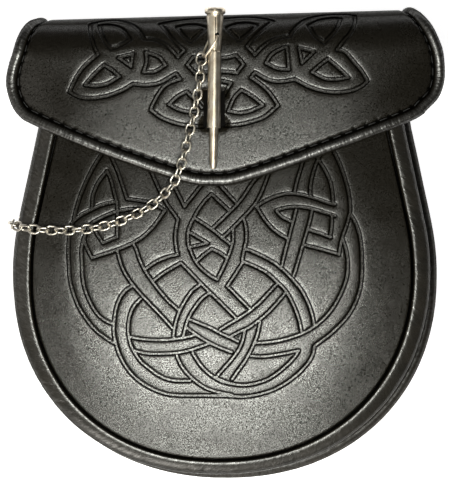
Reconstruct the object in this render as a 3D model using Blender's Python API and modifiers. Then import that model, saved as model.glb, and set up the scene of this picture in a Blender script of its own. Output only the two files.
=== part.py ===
"""A leather day sporran that lies on its back, closed by a steel peg on a chain.

Lengths are in millimetres until they are placed, and X is to the right of the front,
Y up the front and Z out of the front. The sporran is one long piece of leather that makes
the back, folds over the top and comes down as the flap; a front panel; a soft gusset that
joins the two and rolls over at the front; a bound edge; and the peg, its tube and its chain.
"""

from collections import namedtuple
from math import copysign, cos, exp, pi, radians, sin

import bmesh
import bpy
from mathutils import Matrix, Vector

MILLIMETRE = 0.001
CLEARANCE = 0.3  # between two pieces that touch on the real thing
SEAM = 0.5  # between a leather edge and the roll sewn round it
BOX_MIDDLE = Vector((0.0, -0.45, 0.0))  # the sporran's middle, which becomes the origin

# The body, seen from the front: below the waist each outline is half of a slightly squared
# ellipse, above it the sides draw in. Each level is one outline, and the front ones hang a
# little to the left.
WAIST_Y = -14.0
SQUARENESS = 2.15  # 2 is an ellipse, and more is squarer
TAPER = 0.0045  # how fast the sides start to draw in, per mm of rise squared
TAPER_BEND = 24.0  # above this rise the sides are straight
TAPER_RISE = 62.0  # above this rise the sides ease back to the mouth slope
EASING = 8.0
Level = namedtuple("Level", "half depth middle bottom_middle mouth_slope")
GROOVE = Level(half=82.4, depth=80.5, middle=-1.5, bottom_middle=-3.0, mouth_slope=0.10)
RIM = Level(half=89.9, depth=87.1, middle=-1.5, bottom_middle=-3.0, mouth_slope=0.10)
BACK = Level(half=92.2, depth=88.6, middle=-0.3, bottom_middle=0.3, mouth_slope=0.0)
SIDE_STEPS = 7
BOTTOM_STEPS = 24

# Leather and bindings
LEATHER = 2.4
GUSSET_LEATHER = 1.6
BACK_ROLL = 2.6  # radius of the binding round the back
FLAP_ROLL = 2.35  # radius of the binding round the flap
BACK_Z = 3.5  # middle of the back's leather
FLAP_Z = 37.8  # middle of the flap's leather
MOUTH_Y = 76.0  # where the gusset ends and the fold's leather starts

# The fold lies a little askew: it is higher on the right.
FOLD_RADIUS = (FLAP_Z - BACK_Z) / 2
FOLD_Z = (FLAP_Z + BACK_Z) / 2
FOLD_Y = 80.0
FOLD_SLOPE = 0.028
QUARTER = FOLD_RADIUS * pi / 2  # length of leather from the crest of the fold to the flat
DROOP = 9.0  # how far the flap's ears hang
DROOP_POWER = 5
FLAP_HALF = 94.3

# The flap's bound edge on the leather laid flat, from the back's left side to its right side.
EdgePoint = namedtuple("EdgePoint", "across down")
FLAP_EDGE = (
    EdgePoint(-79.9, -28.4),
    EdgePoint(-80.3, -12.0),
    EdgePoint(-82.0, -1.0),
    EdgePoint(-86.0, 5.0),
    EdgePoint(-89.7, 13.0),
    EdgePoint(-92.3, 22.5),
    EdgePoint(-94.9, 34.5),
    EdgePoint(-93.3, 43.3),
    EdgePoint(-89.3, 50.0),
    EdgePoint(-82.3, 54.5),
    EdgePoint(-53.9, 67.5),
    EdgePoint(-19.6, 79.7),
    EdgePoint(-4.5, 82.0),
    EdgePoint(10.5, 80.1),
    EdgePoint(45.0, 69.6),
    EdgePoint(79.7, 57.2),
    EdgePoint(87.6, 51.8),
    EdgePoint(92.7, 46.0),
    EdgePoint(94.9, 37.0),
    EdgePoint(93.6, 25.0),
    EdgePoint(90.2, 15.5),
    EdgePoint(86.0, 8.0),
    EdgePoint(81.8, 0.0),
    EdgePoint(79.9, -12.0),
    EdgePoint(79.3, -33.0),
)
LEFT_CORNER, RIGHT_CORNER = EdgePoint(-88.0, 49.0), EdgePoint(87.5, 50.5)
COLUMN_RINGS = (1.0, 0.86, 0.7, 0.5, 0.3, 0.15, 0.0)  # the columns, as parts of the half-width
FLAP_ROWS = 16

# The front panel's domed outer skin, from its edge to its middle line.
PANEL_EDGE_INSET = 0.8  # inside the groove's middle
PANEL_TOP = 74.0
Crown = namedtuple("Crown", "ring height")
PANEL_CROWN = (
    Crown(1.0, 29.3),
    Crown(0.975, 30.7),
    Crown(0.93, 31.6),
    Crown(0.8, 32.6),
    Crown(0.6, 33.7),
    Crown(0.3, 34.7),
    Crown(0.0, 35.0),
)
MOUTH_FLATTENING = 0.25  # how much of the dome is lost towards the mouth

# The gusset's outer skin, from its flange under the panel, over the roll, down to the back.
# Reach is how far it lies from the base outline (0) to the rim (1).
FOOT_INSET = 6.0  # of the gusset's foot from the back's outline
Skin = namedtuple("Skin", "base reach height")
GUSSET_SKIN = (
    Skin("groove", -0.42, 26.6),
    Skin("groove", 0.06, 26.2),
    Skin("groove", 0.12, 28.8),
    Skin("groove", 0.27, 30.7),
    Skin("groove", 0.50, 31.4),
    Skin("groove", 0.78, 30.4),
    Skin("groove", 0.96, 27.9),
    Skin("foot", 0.98, 24.6),
    Skin("foot", 0.80, 19.0),
    Skin("foot", 0.45, 12.0),
    Skin("foot", 0.12, 7.6),
    Skin("foot", 0.00, BACK_Z + LEATHER / 2 + CLEARANCE),
)

# The flap's slot and the closure that stands in it
SLOT_LEFT, SLOT_RIGHT, SLOT_BOTTOM, SLOT_TOP = -9.6, -0.2, 49.4, 65.4
SLOT_CORNER = 2.0
TUBE_RADIUS, TUBE_FOOT_RADIUS, TUBE_BORE = 2.8, 2.95, 2.2
PEG_AXIS_Z = FLAP_Z + LEATHER / 2 + CLEARANCE + TUBE_FOOT_RADIUS
PEG_TOP = Vector((-4.45, 101.0, PEG_AXIS_Z))
PEG_LEAN = radians(0.68)  # the tip lies to the left of the head
TUBE_FROM, TUBE_TO = 18.8, 51.9  # along the peg, from the top of its head
POST_WIDTH = 3.4
POST_FROM, POST_TO = 36.0, 50.4
PLATE_WIDTH, PLATE_LENGTH, PLATE_THICKNESS = 12.0, 19.0, 1.0
PLATE_Z = 35.0 + CLEARANCE
TurnedPoint = namedtuple("TurnedPoint", "radius along")
PEG_PROFILE = (
    TurnedPoint(0.0, 0.0),
    TurnedPoint(3.4, 0.0),
    TurnedPoint(4.3, 0.5),
    TurnedPoint(4.5, 1.2),
    TurnedPoint(4.4, 2.4),
    TurnedPoint(3.6, 3.2),
    TurnedPoint(3.6, 4.2),
    TurnedPoint(2.65, 18.3),
    TurnedPoint(2.4, 18.5),
    TurnedPoint(1.85, 18.5),
    TurnedPoint(1.8, 52.0),
    TurnedPoint(1.2, 67.8),
    TurnedPoint(0.9, 69.2),
    TurnedPoint(0.0, 69.6),
)
PEG_HOLE_ALONG = 11.2
PEG_HOLE_RADIUS = 0.85
PEG_HOLE_TURN = radians(21)  # the hole leans to the right at the front

# The chain: its links lie along a route over the flap, the panel and the left edge.
WIRE = 0.75
LINK_WIDTH = 4.5
LINK_PITCH = 3.85
LINK_LAP = 0.25  # how far neighbouring links' wires run into each other
RING_LENGTH, RING_WIDTH, RING_WIRE = 6.3, 5.2, 0.8  # the first link, in the peg's ring
RoutePoint = namedtuple("RoutePoint", "across up height")
CHAIN_ROUTE = (
    RoutePoint(-10.4, 78.8, 42.0),
    RoutePoint(-11.1, 70.0, 41.8),
    RoutePoint(-12.3, 62.2, 41.7),
    RoutePoint(-13.9, 54.0, 41.6),
    RoutePoint(-15.6, 47.1, 41.6),
    RoutePoint(-17.4, 39.3, 41.8),
    RoutePoint(-19.3, 32.6, 42.6),
    RoutePoint(-22.3, 25.5, 41.6),
    RoutePoint(-25.7, 21.4, 39.2),
    RoutePoint(-30.6, 17.0, 37.4),
    RoutePoint(-37.2, 12.8, 36.8),
    RoutePoint(-46.6, 8.7, 36.3),
    RoutePoint(-57.2, 6.0, 35.7),
    RoutePoint(-68.0, 5.1, 34.9),
    RoutePoint(-77.0, 5.2, 34.0),
    RoutePoint(-84.5, 5.8, 33.7),
    RoutePoint(-89.7, 6.8, 31.8),
    RoutePoint(-92.0, 7.6, 28.0),
    RoutePoint(-92.0, 8.0, 21.1),
)

# The anchor on the gusset's left side
ANCHOR_AT = Vector((-88.55, 8.0, 18.6))  # on the gusset's skin, which leans out upwards
ANCHOR_LEAN = radians(9)
ANCHOR_EYE_RADIUS, ANCHOR_WIRE = 2.4, 1.0
ANCHOR_FLANGE_RADIUS, ANCHOR_FLANGE = 3.2, 0.8

# The plain loops on the back that a belt or hip strap goes through, pressed flat
LOOP_X, LOOP_WIDTH, LOOP_FROM_Y, LOOP_TO_Y, LOOP_CORNER = 42.0, 24.0, -8.0, 62.0, 3.0

Finish = namedtuple("Finish", "colour roughness metallic")
FINISHES = {
    "black_leather": Finish((0.012, 0.011, 0.011), 0.42, 0.0),
    "soft_leather": Finish((0.014, 0.013, 0.013), 0.36, 0.0),
    "steel": Finish((0.56, 0.52, 0.47), 0.28, 1.0),
    "bright_steel": Finish((0.72, 0.72, 0.71), 0.22, 1.0),
}


# ---------------------------------------------------------------- helpers

def eased(low, high, value):
    """0 below low, 1 above high and smooth between them."""
    part = min(max((value - low) / (high - low), 0.0), 1.0)
    return part * part * (3 - 2 * part)


def placed(point):
    """A point in millimetres, in metres from the origin."""
    return (Vector(point) - BOX_MIDDLE) * MILLIMETRE


def material(name):
    made = bpy.data.materials.get(name)
    if made:
        return made
    finish = FINISHES[name]
    made = bpy.data.materials.new(name)
    made.use_nodes = True
    shader = made.node_tree.nodes["Principled BSDF"]
    shader.inputs["Base Color"].default_value = (*finish.colour, 1.0)
    shader.inputs["Roughness"].default_value = finish.roughness
    shader.inputs["Metallic"].default_value = finish.metallic
    made.diffuse_color = (*finish.colour, 1.0)
    return made


def new_collection(name):
    made = bpy.data.collections.new(name)
    bpy.context.scene.collection.children.link(made)
    return made


def add_object(name, data, finish, smooth_angle=50):
    """Puts a mesh or curve into the sporran as one named piece."""
    made = bpy.data.objects.new(name, data)
    data.materials.append(material(finish))
    if isinstance(data, bpy.types.Mesh):
        data.shade_smooth()
        data.set_sharp_from_angle(angle=radians(smooth_angle))
    PIECES.objects.link(made)
    return made


def smooth_line(points, steps):
    """A Catmull-Rom line through the points, with this many steps from each to the next."""
    points = [Vector(point) for point in points]
    ends = [2 * points[0] - points[1], *points, 2 * points[-1] - points[-2]]
    line = []
    for before, start, end, after in zip(ends, ends[1:], ends[2:], ends[3:]):
        for step in range(steps):
            t = step / steps
            line.append(
                (2 * start + (end - before) * t
                 + (2 * before - 5 * start + 4 * end - after) * t * t
                 + (3 * start - before - 3 * end + after) * t ** 3) / 2
            )
    return [*line, points[-1]]


def even_points(line, count):
    """The line's points at equal distances along it."""
    lengths = [0.0]
    for start, end in zip(line, line[1:]):
        lengths.append(lengths[-1] + (end - start).length)
    found, at = [], 0
    for index in range(count):
        wanted = lengths[-1] * index / (count - 1)
        while at < len(line) - 2 and lengths[at + 1] < wanted:
            at += 1
        part = (wanted - lengths[at]) / (lengths[at + 1] - lengths[at])
        found.append(line[at].lerp(line[at + 1], part))
    return found


def moved_in(line, distance):
    """A flat line moved towards its inner side, which is on the right of the way it runs down."""
    moved = []
    for index, point in enumerate(line):
        along = line[min(index + 1, len(line) - 1)] - line[max(index - 1, 0)]
        moved.append(point + Vector((along.y, -along.x)).normalized() * distance)
    return moved


def add_grid(work, rows):
    """Adds a sheet of quads through rows of placed points."""
    made = [[work.verts.new(placed(point)) for point in row] for row in rows]
    for upper, lower in zip(made, made[1:]):
        for index in range(len(upper) - 1):
            work.faces.new((upper[index], lower[index], lower[index + 1], upper[index + 1]))


def sheet_mesh(name, grids, faces_up):
    """One open sheet from grids that share their edges, whose first face looks up or down."""
    work = bmesh.new()
    for rows in grids:
        add_grid(work, rows)
    bmesh.ops.remove_doubles(work, verts=work.verts, dist=1e-6)
    bmesh.ops.recalc_face_normals(work, faces=work.faces)
    work.faces.ensure_lookup_table()
    if (work.faces[0].normal.z > 0) != faces_up:
        bmesh.ops.reverse_faces(work, faces=work.faces)
    mesh = bpy.data.meshes.new(name)
    work.to_mesh(mesh)
    work.free()
    return mesh


def thicken(piece, thickness, offset):
    """Solidify: offset 0 keeps the sheet in the middle, -1 keeps it as the outer skin."""
    modifier = piece.modifiers.new("thickness", "SOLIDIFY")
    modifier.thickness = thickness * MILLIMETRE
    modifier.offset = offset


def tube_piece(name, points, radius, finish, resolution=2):
    """A round roll or wire along a line of points."""
    curve = bpy.data.curves.new(name, "CURVE")
    curve.dimensions = "3D"
    curve.bevel_depth = radius * MILLIMETRE
    curve.bevel_resolution = resolution
    curve.use_fill_caps = True
    spline = curve.splines.new("POLY")
    spline.points.add(len(points) - 1)
    for spline_point, point in zip(spline.points, points):
        spline_point.co = (*placed(point), 1.0)
    return add_object(name, curve, finish)


def add_boolean(piece, operation, other):
    modifier = piece.modifiers.new(operation.lower(), "BOOLEAN")
    modifier.operation = operation
    modifier.object = other
    modifier.solver = "EXACT"


def tool_object(name, mesh):
    """A shape that only cuts or joins another."""
    made = bpy.data.objects.new(name, mesh)
    made.hide_render = True
    made.display_type = "WIRE"
    TOOLS.objects.link(made)
    return made


def box_mesh(name, low, high, corner=0.0):
    """A box between two corners, whose upright edges are rounded."""
    work = bmesh.new()
    bmesh.ops.create_cube(work, size=1.0)
    low, high = placed(low), placed(high)
    for vertex in work.verts:
        for axis in range(3):
            vertex.co[axis] = high[axis] if vertex.co[axis] > 0 else low[axis]
    if corner:
        upright = [edge for edge in work.edges
                   if abs(edge.verts[0].co.z - edge.verts[1].co.z) > 1e-6]
        bmesh.ops.bevel(work, geom=upright, offset=corner * MILLIMETRE, segments=4,
                        profile=0.5, affect="EDGES")
    mesh = bpy.data.meshes.new(name)
    work.to_mesh(mesh)
    work.free()
    return mesh


def along_peg(distance):
    """A point on the peg's axis, this far from the top of its head."""
    return PEG_TOP + distance * Vector((-sin(PEG_LEAN), -cos(PEG_LEAN), 0.0))


def peg_frame():
    """Turns a shape that was turned round Z so that it lies along the peg, its start at the head."""
    turn = Matrix.Rotation(-PEG_LEAN, 4, "Z") @ Matrix.Rotation(radians(-90), 4, "X")
    return Matrix.Translation(placed(PEG_TOP)) @ turn


def turned_mesh(name, profile, steps=16):
    """Points of radius and distance along -Z, turned all the way round."""
    work = bmesh.new()
    made = [work.verts.new(Vector((point.radius, 0, -point.along)) * MILLIMETRE) for point in profile]
    edges = [work.edges.new(pair) for pair in zip(made, made[1:])]
    bmesh.ops.spin(work, geom=[*made, *edges], cent=(0, 0, 0), axis=(0, 0, 1),
                   angle=2 * pi, steps=steps, use_merge=True, use_duplicate=False)
    bmesh.ops.remove_doubles(work, verts=work.verts, dist=1e-6)
    bmesh.ops.recalc_face_normals(work, faces=work.faces)
    mesh = bpy.data.meshes.new(name)
    work.to_mesh(mesh)
    work.free()
    return mesh


# ---------------------------------------------------------------- the body's outlines

def half_width(level, y):
    """Half the outline's width above the waist."""
    rise = y - WAIST_Y
    curved, straight = min(rise, TAPER_BEND), min(rise, TAPER_RISE)
    slope = 2 * TAPER * TAPER_BEND
    turn = (slope - level.mouth_slope) * EASING * (1 - exp((straight - rise) / EASING))
    drawn_in = TAPER * curved ** 2 + slope * (straight - curved)
    return level.half - drawn_in - level.mouth_slope * (rise - straight) - turn


def squared(part):
    """A cosine or sine of the way round, for an outline squarer than an ellipse."""
    return copysign(abs(part) ** (2 / SQUARENESS), part)


def inside(level, inset):
    return level._replace(half=level.half - inset, depth=level.depth - inset)


def outline(level, top, ring=1.0):
    """Down the left side, round the bottom and up the right side; ring 0 is the middle line."""
    heights = [WAIST_Y + (top - WAIST_Y) * (1 - step / SIDE_STEPS) for step in range(SIDE_STEPS)]
    left = [Vector((level.middle - ring * half_width(level, y), y)) for y in heights]
    bottom = []
    for step in range(BOTTOM_STEPS + 1):
        angle = pi * step / BOTTOM_STEPS
        across, down = squared(cos(angle)), squared(sin(angle))
        middle = level.middle + ring * (level.bottom_middle - level.middle) * down
        bottom.append(Vector((middle - ring * level.half * across,
                              WAIST_Y - ring * level.depth * down)))
    right = [Vector((level.middle + ring * half_width(level, y), y)) for y in reversed(heights)]
    return left + bottom + right


# ---------------------------------------------------------------- leather

def bent(across, down):
    """A place on the flat leather, counted from the fold's crest, as it lies on the sporran."""
    fold_y = FOLD_Y + FOLD_SLOPE * across
    drop = DROOP * abs(across / FLAP_HALF) ** DROOP_POWER * eased(0.0, 40.0, down)
    if down < -QUARTER:
        return Vector((across, fold_y + down + QUARTER, BACK_Z))
    if down > QUARTER:
        return Vector((across, fold_y + QUARTER - down, FLAP_Z - drop))
    angle = down / FOLD_RADIUS
    radius = FOLD_RADIUS - drop
    return Vector((across, fold_y + radius * cos(angle), FOLD_Z + radius * sin(angle)))


def flap_line(inset):
    """The flap's edge on the flat leather, this far inside its binding's outer edge."""
    return moved_in(smooth_line(FLAP_EDGE, 8), inset)


def split_at_corners(line):
    """The left side from the back down, the lower edge from left to right, the right side down."""
    nearest = [min(range(len(line)), key=lambda at: (line[at] - Vector(corner)).length)
               for corner in (LEFT_CORNER, RIGHT_CORNER)]
    left, right = nearest
    return line[:left + 1], line[left:right + 1], line[right:][::-1]


def sheet_columns():
    """Where the columns stand, from 0 at the left edge to 1 at the right edge."""
    left = [(1 - ring) / 2 for ring in COLUMN_RINGS]
    return left + [1 - part for part in reversed(left[:-1])]


def flap_rows(top_row):
    """A patch between the top row, the two sides and the lower edge, on the flat leather."""
    left_line, lower_line, right_line = split_at_corners(flap_line(2 * FLAP_ROLL + SEAM))
    left_line = [top_row[0], *(point for point in left_line if point.y > top_row[0].y + 1)]
    right_line = [top_row[-1], *(point for point in right_line if point.y > top_row[-1].y + 1)]
    left = even_points(left_line, FLAP_ROWS + 1)
    right = even_points(right_line, FLAP_ROWS + 1)
    lower = even_points(lower_line, 101)
    rows = []
    for row in range(FLAP_ROWS + 1):
        v = row / FLAP_ROWS
        points = []
        for column, u in enumerate(sheet_columns()):
            low = lower[round(u * 100)]
            corners = ((1 - v) * ((1 - u) * top_row[0] + u * top_row[-1])
                       + v * ((1 - u) * lower[0] + u * lower[-1]))
            points.append((1 - v) * top_row[column] + v * low
                          + (1 - u) * left[row] + u * right[row] - corners)
        rows.append(points)
    return rows


def add_back_and_flap():
    """The long piece of leather: the back, the fold over the top and the flap with its slot."""
    leather = inside(BACK, 2 * BACK_ROLL + SEAM)
    rings = [outline(leather, MOUTH_Y, ring) for ring in COLUMN_RINGS]
    back = [[(*point, BACK_Z) for point in ring] for ring in rings]
    top = [ring[0] for ring in rings] + [ring[-1] for ring in reversed(rings[:-1])]
    top_row = [Vector((x, -QUARTER - (FOLD_Y + FOLD_SLOPE * x - y))) for x, y in top]
    flap = [[bent(*point) for point in row] for row in flap_rows(top_row)]
    piece = add_object("back_flap", sheet_mesh("back_flap", [back, flap], False), "black_leather")
    thicken(piece, LEATHER, 0.0)
    slot = box_mesh("slot_cutter", (SLOT_LEFT, SLOT_BOTTOM, FOLD_Z),
                    (SLOT_RIGHT, SLOT_TOP, PEG_AXIS_Z), SLOT_CORNER)
    add_boolean(piece, "DIFFERENCE", tool_object("slot_cutter", slot))


def add_bindings():
    """The rolls of soft leather sewn round the flap's edge and round the back's edge."""
    flap_edge = even_points([bent(*point) for point in flap_line(FLAP_ROLL)], 84)
    tube_piece("flap_binding", flap_edge, FLAP_ROLL, "soft_leather")
    back_edge = outline(inside(BACK, BACK_ROLL), MOUTH_Y - CLEARANCE)
    back_edge = [(*point, BACK_ROLL) for point in back_edge]
    tube_piece("back_binding", back_edge, BACK_ROLL, "soft_leather")


def panel_height(height, y):
    """The dome of the front panel, lower towards the mouth."""
    kept = 1 - MOUTH_FLATTENING * eased(30.0, PANEL_TOP, y)
    return PANEL_CROWN[0].height + (height - PANEL_CROWN[0].height) * kept


def add_front_panel():
    """The stiff domed front, open at its top edge under the flap."""
    level = inside(GROOVE, PANEL_EDGE_INSET)
    rows = []
    for crown in PANEL_CROWN:
        ring = outline(level, PANEL_TOP, crown.ring)
        rows.append([(*point, panel_height(crown.height, point.y)) for point in ring])
    piece = add_object("front_panel", sheet_mesh("front_panel", [rows], True), "black_leather")
    thicken(piece, LEATHER, -1.0)


def add_gusset():
    """The soft band round the sides: a flange under the panel, the padded roll and the side wall."""
    foot = outline(inside(BACK, FOOT_INSET), MOUTH_Y)
    bases = {"groove": outline(GROOVE, MOUTH_Y), "foot": foot}
    rim = outline(RIM, MOUTH_Y)
    rows = []
    for skin in GUSSET_SKIN:
        pairs = zip(bases[skin.base], rim)
        rows.append([(*base.lerp(edge, skin.reach), skin.height) for base, edge in pairs])
    piece = add_object("gusset", sheet_mesh("gusset", [rows], True), "soft_leather", smooth_angle=80)
    thicken(piece, GUSSET_LEATHER, -1.0)


def add_belt_loops():
    """Two plain straps on the back, sewn at both ends."""
    for side, x in (("left", -LOOP_X), ("right", LOOP_X)):
        name = f"belt_loop_{side}"
        low = Vector((x - LOOP_WIDTH / 2, LOOP_FROM_Y, 0.0))
        high = Vector((x + LOOP_WIDTH / 2, LOOP_TO_Y, BACK_Z - LEATHER / 2 - CLEARANCE))
        add_object(name, box_mesh(name, low, high, LOOP_CORNER), "black_leather", smooth_angle=30)


# ---------------------------------------------------------------- the closure

def add_receiver_tube():
    """The tube that the peg goes through, soldered to a post and a plate on the front panel."""
    tube = turned_mesh("receiver_tube", (
        TurnedPoint(TUBE_BORE, TUBE_FROM),
        TurnedPoint(TUBE_RADIUS, TUBE_FROM),
        TurnedPoint(TUBE_FOOT_RADIUS, TUBE_TO),
        TurnedPoint(TUBE_BORE, TUBE_TO),
        TurnedPoint(TUBE_BORE, TUBE_FROM),
    ))
    tube.transform(peg_frame())
    piece = add_object("receiver_tube", tube, "steel", smooth_angle=40)
    middle = along_peg((POST_FROM + POST_TO) / 2)
    half = Vector((POST_WIDTH / 2, (POST_TO - POST_FROM) / 2, 0.0))
    soldered = PEG_AXIS_Z - (TUBE_BORE + TUBE_RADIUS) / 2
    low, high = middle - half, middle + half
    low.z, high.z = PLATE_Z, soldered
    add_boolean(piece, "UNION", tool_object("tube_post", box_mesh("tube_post", low, high)))
    half = Vector((PLATE_WIDTH / 2, PLATE_LENGTH / 2, 0.0))
    low, high = middle - half, middle + half
    low.z, high.z = PLATE_Z, PLATE_Z + PLATE_THICKNESS
    plate = box_mesh("tube_plate", low, high, SLOT_CORNER)
    add_boolean(piece, "UNION", tool_object("tube_plate", plate))


def peg_hole_direction():
    return Vector((sin(PEG_HOLE_TURN), 0.0, cos(PEG_HOLE_TURN)))


def add_peg():
    """The turned pin, with a head, a tapered body, a cross hole and a thin tip."""
    mesh = turned_mesh("peg", PEG_PROFILE)
    mesh.transform(peg_frame())
    piece = add_object("peg", mesh, "steel", smooth_angle=35)
    work = bmesh.new()
    aim = Vector((0, 0, 1)).rotation_difference(peg_hole_direction()).to_matrix().to_4x4()
    bmesh.ops.create_cone(work, cap_ends=True, segments=10, radius1=PEG_HOLE_RADIUS * MILLIMETRE,
                          radius2=PEG_HOLE_RADIUS * MILLIMETRE, depth=12 * MILLIMETRE,
                          matrix=Matrix.Translation(placed(along_peg(PEG_HOLE_ALONG))) @ aim)
    drill = bpy.data.meshes.new("peg_drill")
    work.to_mesh(drill)
    work.free()
    add_boolean(piece, "DIFFERENCE", tool_object("peg_drill", drill))


def add_peg_ring():
    """The wire ring through the peg's hole, drawn down to the left by the chain."""
    centre = along_peg(PEG_HOLE_ALONG)
    through = peg_hole_direction()
    pulled = Vector((-4.9, -9.6, 0.0))
    shape = (  # parts of the way through the hole, in mm, and of the way that the ring is pulled
        (0.0, 0.0), (3.6, 0.0), (4.6, 0.1), (4.7, 0.3), (3.6, 0.65), (1.9, 0.92), (0.0, 1.0),
        (-1.9, 0.92), (-3.1, 0.65), (-3.9, 0.3), (-4.1, 0.1), (-3.6, 0.0), (0.0, 0.0),
    )
    line = smooth_line([centre + through * out + pulled * part for out, part in shape], 3)
    piece = tube_piece("peg_ring", line[:-1], RING_WIRE / 2, "bright_steel", resolution=1)
    piece.data.splines[0].use_cyclic_u = True
    piece.data.use_fill_caps = False


def link_mesh(name, length, width, wire):
    """An oval ring of round wire in the XY plane, long along X."""
    stretch = (length - width) / 2
    bpy.ops.mesh.primitive_torus_add(major_segments=10, minor_segments=5, minor_radius=wire / 2,
                                     major_radius=(width - wire) / 2)
    ring = bpy.context.object
    mesh = ring.data
    bpy.data.objects.remove(ring)
    mesh.name = name
    for vertex in mesh.vertices:
        vertex.co.x += stretch if vertex.co.x > 0 else -stretch
        vertex.co *= MILLIMETRE
    return mesh


def add_chain():
    """The links, each turned a quarter from the one before, fused where they hang in each other."""
    route = smooth_line(CHAIN_ROUTE, 12)
    length = sum((end - start).length for start, end in zip(route, route[1:]))
    count = round(length / LINK_PITCH) + 1
    centres = even_points(route, count)
    pitch = length / (count - 1)
    link_length = pitch + 2 * WIRE - LINK_LAP
    ring = link_mesh("chain_ring", RING_LENGTH, RING_WIDTH, RING_WIRE)
    link = link_mesh("chain_link", link_length, LINK_WIDTH, WIRE)
    ring_pitch = (RING_LENGTH + link_length) / 2 - RING_WIRE - WIRE + LINK_LAP
    centres[0] = centres[1] + (centres[0] - centres[1]).normalized() * ring_pitch
    halves = [bmesh.new(), bmesh.new()]
    for index, centre in enumerate(centres):
        along = centres[min(index + 1, count - 1)] - centres[max(index - 1, 0)]
        across = along.cross(Vector((0, 0, 1)) if abs(along.normalized().z) < 0.8 else Vector((1, 0, 0)))
        frame = Matrix((along.normalized(), across.normalized(),
                        along.cross(across).normalized())).transposed().to_4x4()
        settled = min(index / 10, 1.0)
        turn = radians(-45 * settled + 90 * (index % 2))
        place = Matrix.Translation(placed(centre)) @ frame @ Matrix.Rotation(turn, 4, "X")
        copy = (link if index else ring).copy()
        copy.transform(place)
        halves[index % 2].from_mesh(copy)
        bpy.data.meshes.remove(copy)
    meshes = []
    for half, name in zip(halves, ("chain", "chain_odd_links")):
        bmesh.ops.recalc_face_normals(half, faces=half.faces)
        meshes.append(bpy.data.meshes.new(name))
        half.to_mesh(meshes[-1])
        half.free()
    piece = add_object("chain", meshes[0], "bright_steel", smooth_angle=80)
    add_boolean(piece, "UNION", tool_object("chain_odd_links", meshes[1]))


def add_chain_anchor():
    """The small eye on the gusset's left side that holds the chain's far end."""
    out = Vector((-cos(ANCHOR_LEAN), 0.0, -sin(ANCHOR_LEAN)))
    flange_at = ANCHOR_AT + out * (CLEARANCE + ANCHOR_FLANGE / 2)
    eye_at = ANCHOR_AT + out * (CLEARANCE + ANCHOR_FLANGE + ANCHOR_EYE_RADIUS - ANCHOR_WIRE / 4)
    work = bmesh.new()
    bmesh.ops.create_cone(work, cap_ends=True, segments=14, radius1=ANCHOR_FLANGE_RADIUS * MILLIMETRE,
                          radius2=0.8 * ANCHOR_FLANGE_RADIUS * MILLIMETRE,
                          depth=ANCHOR_FLANGE * MILLIMETRE,
                          matrix=Matrix.Translation(placed(flange_at))
                          @ Matrix.Rotation(-radians(90) - ANCHOR_LEAN, 4, "Y"))
    flange = bpy.data.meshes.new("chain_anchor")
    work.to_mesh(flange)
    work.free()
    piece = add_object("chain_anchor", flange, "bright_steel", smooth_angle=40)
    eye_size = 2 * ANCHOR_EYE_RADIUS + ANCHOR_WIRE
    eye = link_mesh("anchor_eye", eye_size, eye_size, ANCHOR_WIRE)
    eye.transform(Matrix.Translation(placed(eye_at)) @ Matrix.Rotation(radians(90), 4, "X"))
    add_boolean(piece, "UNION", tool_object("anchor_eye", eye))


for old in list(bpy.data.objects):
    bpy.data.objects.remove(old)

PIECES = new_collection("sporran_pouch")
TOOLS = new_collection("cutters")

add_back_and_flap()
add_bindings()
add_front_panel()
add_gusset()
add_belt_loops()
add_receiver_tube()
add_peg()
add_peg_ring()
add_chain()
add_chain_anchor()
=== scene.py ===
"""The looks of the leather day sporran: embossed leather, rolls, stitches, steel and light.

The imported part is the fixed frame, and each piece here stands for one of its nodes. Lengths
are in millimetres until they are placed. X is to the right of the front, Y up the front and
Z out of the front, and the sporran lies on its back.
"""

from collections import namedtuple
from math import acos, copysign, cos, exp, pi, radians, sin, sqrt

import bmesh
import bpy
import numpy as np
from mathutils import Matrix, Vector, geometry, kdtree, noise


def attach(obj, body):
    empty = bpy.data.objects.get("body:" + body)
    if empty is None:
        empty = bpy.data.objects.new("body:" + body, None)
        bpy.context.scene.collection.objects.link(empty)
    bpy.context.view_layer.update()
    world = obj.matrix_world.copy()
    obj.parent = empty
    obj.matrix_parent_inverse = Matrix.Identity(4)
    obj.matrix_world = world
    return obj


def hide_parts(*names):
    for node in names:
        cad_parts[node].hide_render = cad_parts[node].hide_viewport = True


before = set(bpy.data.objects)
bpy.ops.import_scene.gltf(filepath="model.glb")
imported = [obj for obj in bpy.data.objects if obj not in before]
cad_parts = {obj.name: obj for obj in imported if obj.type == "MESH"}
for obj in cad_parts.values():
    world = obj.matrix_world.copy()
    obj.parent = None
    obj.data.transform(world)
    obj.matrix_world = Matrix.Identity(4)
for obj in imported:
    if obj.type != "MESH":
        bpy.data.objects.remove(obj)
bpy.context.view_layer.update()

MILLIMETRE = 0.001
CLEARANCE = 0.3
BOX_MIDDLE = Vector((0.0, -0.45, 0.0))

# ---------------------------------------------------------------- the photograph's frame

PICTURE_WIDTH, PICTURE_HEIGHT = 449, 489
PIXEL = 0.432  # millimetres to a pixel at the front of the pouch
PIXEL_ORIGIN = (225.5, 242.0)  # the pixel over the point that the outlines are measured from
FRONT_Z = 30.0
CAMERA_DISTANCE = 4000.0  # above the front
SENSOR = 36.0

# ---------------------------------------------------------------- the body, as in the CAD part

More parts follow.
